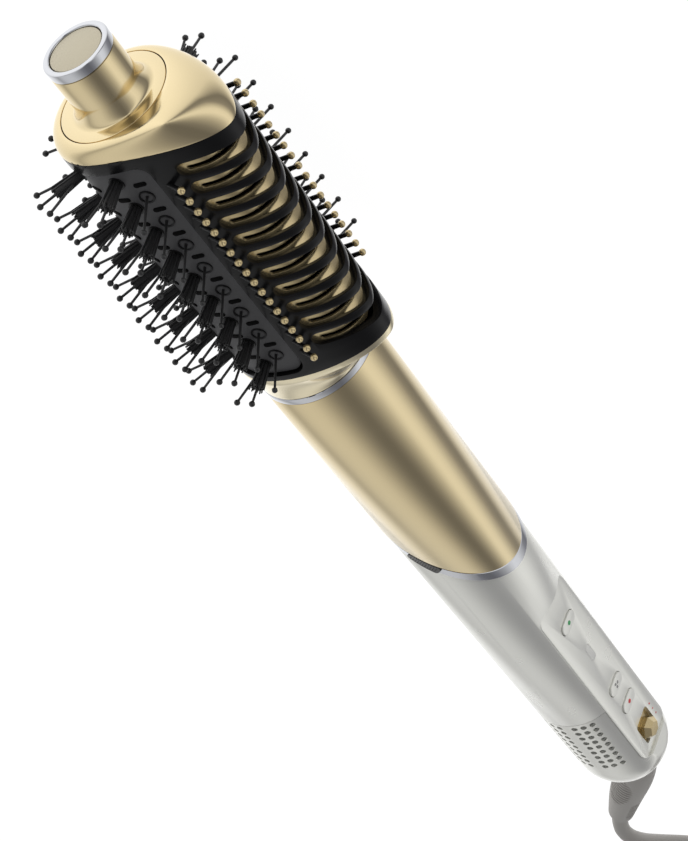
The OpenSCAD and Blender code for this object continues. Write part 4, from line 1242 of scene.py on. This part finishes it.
class STYLER_OT_vents(Operator):
    """Makes the black vent frame and the golden louvres behind its slots"""

    bl_idname = "styler.vents"
    bl_label = "Vents"

    def execute(self, context):
        thickness = mm("frame_wall")
        slot_end = length_to(VENT_END_Y)
        side_end = length_to(WINDOW_Y)
        parts = vent_wall(0, thickness, mm("vent_width"), slot_end, side_end, lambda y: RIM_X, cap_rim,
                          recess=0.35, crown=0.3)
        columns = window_columns(side_end)

        def band(low, high):
            def place(i, j):
                y, z = head_point(angle_at(columns[i]))
                return low(y) + (high(y) - low(y)) * j / 3, y, z
            return patch(len(columns) - 1, 3, place, lambda i, j: 1.0)

        parts.append(band(lambda y: RIM_X, lambda y: WINDOW_LOW + window_edge(y)))
        parts.append(band(lambda y: WINDOW_HIGH - window_edge(y), cap_rim))
        vents = merged(parts, flip=True)
        wall(vents, thickness, "wall")
        rounded_edges(vents, 0.5, segments=3, angle=50)
        complete(vents, "vent_casing", "brush_head", "black_satin", ["vent_frame"], angle=50)
        self.louvres(slot_end)
        return {"FINISHED"}

    def louvres(self, slot_end):
        """Golden slats whose gaps lie behind the middles of the slots."""
        last_slot, thickness = VENT_FIRST - VENT_PITCH * (VENTS - 1), 0.9
        parts = vent_wall(
            LOUVRE_INSET, thickness, mm("louvre_width"), slot_end - 2.7, length_to(-17.2),
            lambda y: last_slot - dip(y) - 3.4, lambda y: cap_rim(y) - 4.6, sunk=3.6, shift=LOUVRE_SHIFT)
        slats = merged(parts, flip=True)
        wall(slats, thickness, "wall")
        rounded_edges(slats, 0.3, angle=50)
        complete(slats, "vent_louvres", "brush_head", "gold_gloss", ["vent_core"], angle=50)


def column_places(offset):
    """Places along the head for a column of tufts whose first lies offset under the cap's rim."""
    x, made = CAP_X - offset, []
    while x >= WINDOW_LOW + 3.5:
        made.append(x)
        x -= mm("tuft_pitch")
    return made


# Columns on the pad, in degrees from the vents, and where each begins below the cap's rim: tufts with
# the leans of their ball pins, pills painted near black as the shade inside holes, and one column of single
# slim pins
TUFT_COLUMNS = ((82, 9.2, (0, 22)), (127, 8.75, (-22, 0, 22)), (180, 11.2, (-22, 0, 22)))
PILL_COLUMNS = ((64, 11.2), (87.5, 16.0), (112, 12.5), (150, 15.0))
SLIM_THETA, SLIM_OFFSET = 66, 16.1

# Where the bristles start under the pad's face, the kinds of tuft, the strands in one, and how far
# from the axis the tufts, their pins and the slim pins end
ROOT = -0.4
KINDS = 4
STRANDS = 26
TUFT_REACH, PIN_REACH, SLIM_REACH = 30.0, 35.4, 34.9


def tuft_seats():
    """Place along the head, direction and pin leans of every tuft."""
    made = []
    for theta, offset, leans in TUFT_COLUMNS:
        for side in (1,) if theta == 180 else (1, -1):
            made += [(x, side * theta, [side * lean for lean in leans]) for x in column_places(offset)]
    return made


def slim_seats():
    """Place and direction of every slim pin."""
    return [(x, side * SLIM_THETA) for x in column_places(SLIM_OFFSET) for side in (-1, 1)]


class STYLER_OT_pad(Operator):
    """Makes the rubber pad with its raised pills, painted as shaded holes, and the sockets of the tufts"""

    bl_idname = "styler.pad"
    bl_label = "Bristle pad"

    def execute(self, context):
        recess = mm("pad_recess")
        columns = window_columns(length_to(WINDOW_Y) + PAD_GAP)
        rows = 30

        def place(i, j):
            s = columns[i]
            edge = PAD_GAP + window_edge(outline_y(s), PAD_GAP)
            low, high = WINDOW_LOW + edge, WINDOW_HIGH - edge
            return low + (high - low) * j / rows, *head_point(angle_at(s), recess)

        pad = merged([patch(len(columns) - 1, rows, place)], flip=True)
        wall(pad, 1.8)
        rounded_edges(pad, 0.3, angle=50)
        complete(pad, "bristle_bed", "brush_head", "pad_rubber", ["bristle_pad"], angle=50)
        self.pills(recess)
        self.sockets(recess)
        return {"FINISHED"}

    def pills(self, recess):
        """Pills with round ends, in rows along the pad, painted near black as the shade inside holes."""
        bpy.ops.mesh.primitive_cylinder_add(vertices=20, radius=0.8, depth=0.5)
        pill_piece = bpy.context.object
        for vertex in pill_piece.data.vertices:
            vertex.co.y += copysign(1.25, vertex.co.y)
        rounded_edges(pill_piece, 0.12, angle=60)
        places = [
            seat(x, side * theta, recess)
            for theta, offset in PILL_COLUMNS for x in column_places(offset) for side in (-1, 1)
        ]
        # The pills carry painted shade in place of cut holes
        complete(copies(pill_piece, places), "pad_shade_pills", "brush_head", "black_satin", finish="painted_hole_shade")

    def sockets(self, recess):
        """A low ring round the foot of every tuft and slim pin."""
        ring = turned([(-0.4, 1.9), (0.35, 1.9), (0.35, 2.35), (-0.4, 2.5)], 20)
        ring.data.transform(Matrix.Rotation(-pi / 2, 4, "Y"))
        places = [seat(x, theta, recess) for x, theta, *_ in tuft_seats() + slim_seats()]
        complete(copies(ring, places), "tuft_sockets", "brush_head", "pad_rubber", finish="black_plastic")


def strand(base, tip, base_radius, tip_radius, sides):
    """A thin straight strand between two points."""
    way = tip - base
    bpy.ops.mesh.primitive_cone_add(
        vertices=sides, radius1=base_radius, radius2=tip_radius, depth=way.length)
    piece = bpy.context.object
    turn = way.to_track_quat("Z", "Y").to_matrix().to_4x4()
    piece.data.transform(Matrix.Translation((base + tip) / 2) @ turn)
    return piece


def ball_pin(start, end, shaft, ball):
    """A pin along Z with a small ball on its end."""
    tip = Vector((0, 0, end))
    pin = strand(Vector((0, 0, start)), tip, shaft * 1.15, shaft, 6)
    bpy.ops.mesh.primitive_uv_sphere_add(segments=8, ring_count=6, radius=ball)
    head = bpy.context.object
    head.data.transform(Matrix.Translation(tip))
    return joined([pin, head])


class STYLER_OT_bristles(Operator):
    """Makes the tufts of nylon strands and the ball pins that stand among them"""

    bl_idname = "styler.bristles"
    bl_label = "Bristles"

    def execute(self, context):
        recess = mm("pad_recess")
        face = SIDE - recess
        draw = random.Random(7)
        seats = tuft_seats()
        parts = []
        for kind in range(KINDS):
            chosen = [seat(x, theta, recess, ROOT, radial=True) for x, theta, _ in seats[kind::KINDS]]
            parts.append(copies(self.tuft(draw, TUFT_REACH - face), chosen))
        tufts = self.above_floor(joined(parts))
        complete(tufts, "bristle_tufts", "brush_head", "bristle_nylon", ["bristles"], angle=60)
        turns = [
            seat(x, theta, recess, ROOT, radial=True) @ Matrix.Rotation(radians(-lean), 4, "X")
            for x, theta, leans in seats for lean in leans
        ]
        pins = copies(ball_pin(0, PIN_REACH - face, 0.4, 0.98), turns)
        lone = [self.lowered(seat(x, theta, recess, radial=True), face) for x, theta in slim_seats()]
        slim_pins = copies(ball_pin(-0.5, SLIM_REACH - face, 0.42, 0.92), lone)
        pins = self.above_floor(joined([pins, slim_pins]))
        complete(pins, "bristle_pins", "brush_head", "bristle_nylon", angle=60)
        return {"FINISHED"}

    def lowered(self, place, face):
        """A seat nearer the vents stands farther from the axis, so its pin starts deeper."""
        reach = hypot(place.translation.y, place.translation.z)
        return place @ Matrix.Translation((0, 0, face - reach)) if reach > face + 0.5 else place

    def above_floor(self, piece):
        """Ends that would reach into the floor rest on it."""
        for vertex in piece.data.vertices:
            vertex.co.z = max(vertex.co.z, FLOOR_Z + 0.02)
        return piece

    def tuft(self, draw, height):
        """A bundle of strands round a core, a little wider at its ragged end."""
        parts = [strand(Vector(), Vector((0, 0, height - 0.8)), 1.4, 2.0, 10)]
        for k in range(STRANDS):
            angle = 2 * pi * k / STRANDS * 2.4 + draw.uniform(-0.2, 0.2)
            inner = 1.6 * sqrt((k + 0.5) / STRANDS)
            base = Vector((inner * cos(angle), inner * sin(angle), 0))
            lean = 1.5 + draw.uniform(-0.08, 0.12)
            tip = Vector((base.x * lean, base.y * lean, height + draw.uniform(-0.5, 0.35)))
            parts.append(strand(base, tip, 0.36, 0.24, 5))
        return joined(parts)


class STYLER_OT_side_pins(Operator):
    """Makes the two rows of pins with golden beads beside the vents"""

    bl_idname = "styler.side_pins"
    bl_label = "Side pins"

    def execute(self, context):
        radius, length = mm("bead_radius"), 5.4
        places = []
        for side, k in product((-1, 1), range(SIDE_PINS)):
            out = Vector((0, -0.92, side * 0.39)).normalized()
            place = (SIDE_PIN_FIRST - SIDE_PIN_PITCH * k, -17.8, side * 17.5)
            places.append(axes_at(place, ALONG, out.cross(ALONG), out))
        shaft = strand(Vector((0, 0, -1.2)), Vector((0, 0, length - 0.4)), 0.82, 0.72, 16)
        complete(copies(shaft, places), "side_pin_shafts", "brush_head", "bristle_nylon", ["side_pins"],
                 finish="black_satin")
        bpy.ops.mesh.primitive_uv_sphere_add(segments=20, ring_count=14, radius=radius)
        bead = bpy.context.object
        dent = 0.86 * radius
        for vertex in bead.data.vertices:
            if vertex.co.z > dent:
                vertex.co.z = dent - (vertex.co.z - dent) * 0.9
            vertex.co.z += length
        complete(copies(bead, places), "side_beads", "brush_head", "gold_gloss", ["pin_tips"], angle=50)
        return {"FINISHED"}


class STYLER_OT_end_cap(Operator):
    """Makes the golden cap over the head's end"""

    bl_idname = "styler.end_cap"
    bl_label = "End cap"

    def execute(self, context):
        columns, rows, hole = 160, 20, 17.1

        def place(i, j):
            y, z = head_point(angle_at(2 * HALF * i / columns))
            turn = pi / 2 * j / rows
            rim = cap_rim(y) + 0.05
            inmost = hole / hypot(y, z)
            scale = inmost + (1 - inmost) * cos(turn)
            return rim + (SHOULDER_X - rim) * sin(turn), y * scale, z * scale

        cap = merged([patch(columns, rows, place)], flip=True)
        wall(cap, 1.5)
        rounded_edges(cap, 0.22, angle=50)
        complete(cap, "head_cap", "brush_head", "gold_paint", ["end_cap"], finish="polished_gold", angle=40)
        return {"FINISHED"}


class STYLER_OT_tip(Operator):
    """Makes the cool tip: its flared post, bright ring and brushed disc"""

    bl_idname = "styler.tip"
    bl_label = "Tip"

    def execute(self, context):
        radius, flare, flange, disc_radius = 10.4, 2.9, 16.85, 8.2
        foot, seam = SHOULDER_X - 1.8, TIP_X - 3.2
        sweep = [
            (SHOULDER_X + 5 * (1 - cos(radians(a))), radius + flare * (1 - sin(radians(a))))
            for a in range(0, 91, 9)
        ]
        end = seam - 0.05
        stem = [(foot, 0), (foot, flange), (SHOULDER_X, flange), *sweep, (end, radius), (end, 0)]
        post = rounded_edges(turned(stem, 128), 0.2, angle=50)
        complete(post, "tip_stem", "brush_head", "gold_paint", ["tip_post"], finish="polished_gold",
                 angle=25)
        ring = rounded_edges(band_ring(seam, TIP_X, disc_radius + 0.22, radius), 0.5, segments=4)
        complete(ring, "tip_band", "brush_head", "chrome_plate", ["tip_ring"], angle=12)
        disc = turned([(seam, 0), (seam, disc_radius), (TIP_X - 0.35, disc_radius), (TIP_X - 0.2, 0)])
        rounded_edges(disc, 0.25, segments=3, angle=50)
        complete(disc, "tip_face", "brush_head", "disc_plastic", ["tip_disc"], finish="brushed_disc")
        return {"FINISHED"}


# Pieces that stay as the frame has them, and their finishes
INNER_FINISHES = {
    "black_plastic": [
        "outlet_grille", "joint_spigot", "head_adapter", "head_duct", "thermostat", "joint_retainer",
        "board_switches", "motor_housing", "impeller", "rear_frame", "cord_clamp",
    ],
    "mica_sheet": ["heater_frame", "heater_shield"],
    "heater_wire": ["heater_coil"],
    "copper_wire": ["heater_leads", "motor_stator", "supply_wires"],
    "plain_steel": [
        "thermal_fuse", "tip_screw", "motor_bearings", "rotor_shaft", "rotor_magnet", "filter_mesh",
        "clamp_screws",
    ],
    "board_laminate": ["main_board"],
    "mount_rubber": ["motor_mounts"],
}


class STYLER_OT_inner_parts(Operator):
    """Gives every piece inside the styler its finish"""

    bl_idname = "styler.inner_parts"
    bl_label = "Inner parts"

    def execute(self, context):
        for finish, names in INNER_FINISHES.items():
            for name in names:
                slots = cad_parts[name].data.materials
                slots.clear()
                slots.append(finish_of(finish))
        return {"FINISHED"}


OPERATORS = (
    STYLER_OT_stage, STYLER_OT_lead, STYLER_OT_boot, STYLER_OT_barrel, STYLER_OT_twist_joint,
    STYLER_OT_handle, STYLER_OT_controls, STYLER_OT_intake, STYLER_OT_collar, STYLER_OT_vents,
    STYLER_OT_pad, STYLER_OT_bristles, STYLER_OT_side_pins, STYLER_OT_end_cap, STYLER_OT_tip,
    STYLER_OT_inner_parts,
)


class STYLER_PT_parts(Panel):
    """Lists the styler's pieces in the sidebar"""

    bl_idname = "STYLER_PT_parts"
    bl_label = "Hot air styler"
    bl_space_type = "VIEW_3D"
    bl_region_type = "UI"
    bl_category = "Styler"

    def draw(self, context):
        for group in (context.scene.styler_sizes, context.scene.styler_colours):
            for name in group.__annotations__:
                self.layout.prop(group, name)
        for operator in OPERATORS:
            self.layout.operator(operator.bl_idname)


CLASSES = (StylerSizes, StylerColours, *OPERATORS, STYLER_PT_parts)


def register():
    for cls in CLASSES:
        bpy.utils.register_class(cls)
    bpy.types.Scene.styler_sizes = PointerProperty(type=StylerSizes)
    bpy.types.Scene.styler_colours = PointerProperty(type=StylerColours)


def unregister():
    del bpy.types.Scene.styler_colours
    del bpy.types.Scene.styler_sizes
    for cls in reversed(CLASSES):
        bpy.utils.unregister_class(cls)


def main():
    register()
    for operator in OPERATORS:
        group, name = operator.bl_idname.split(".")
        getattr(getattr(bpy.ops, group), name)()


if __name__ == "__main__":
    main()
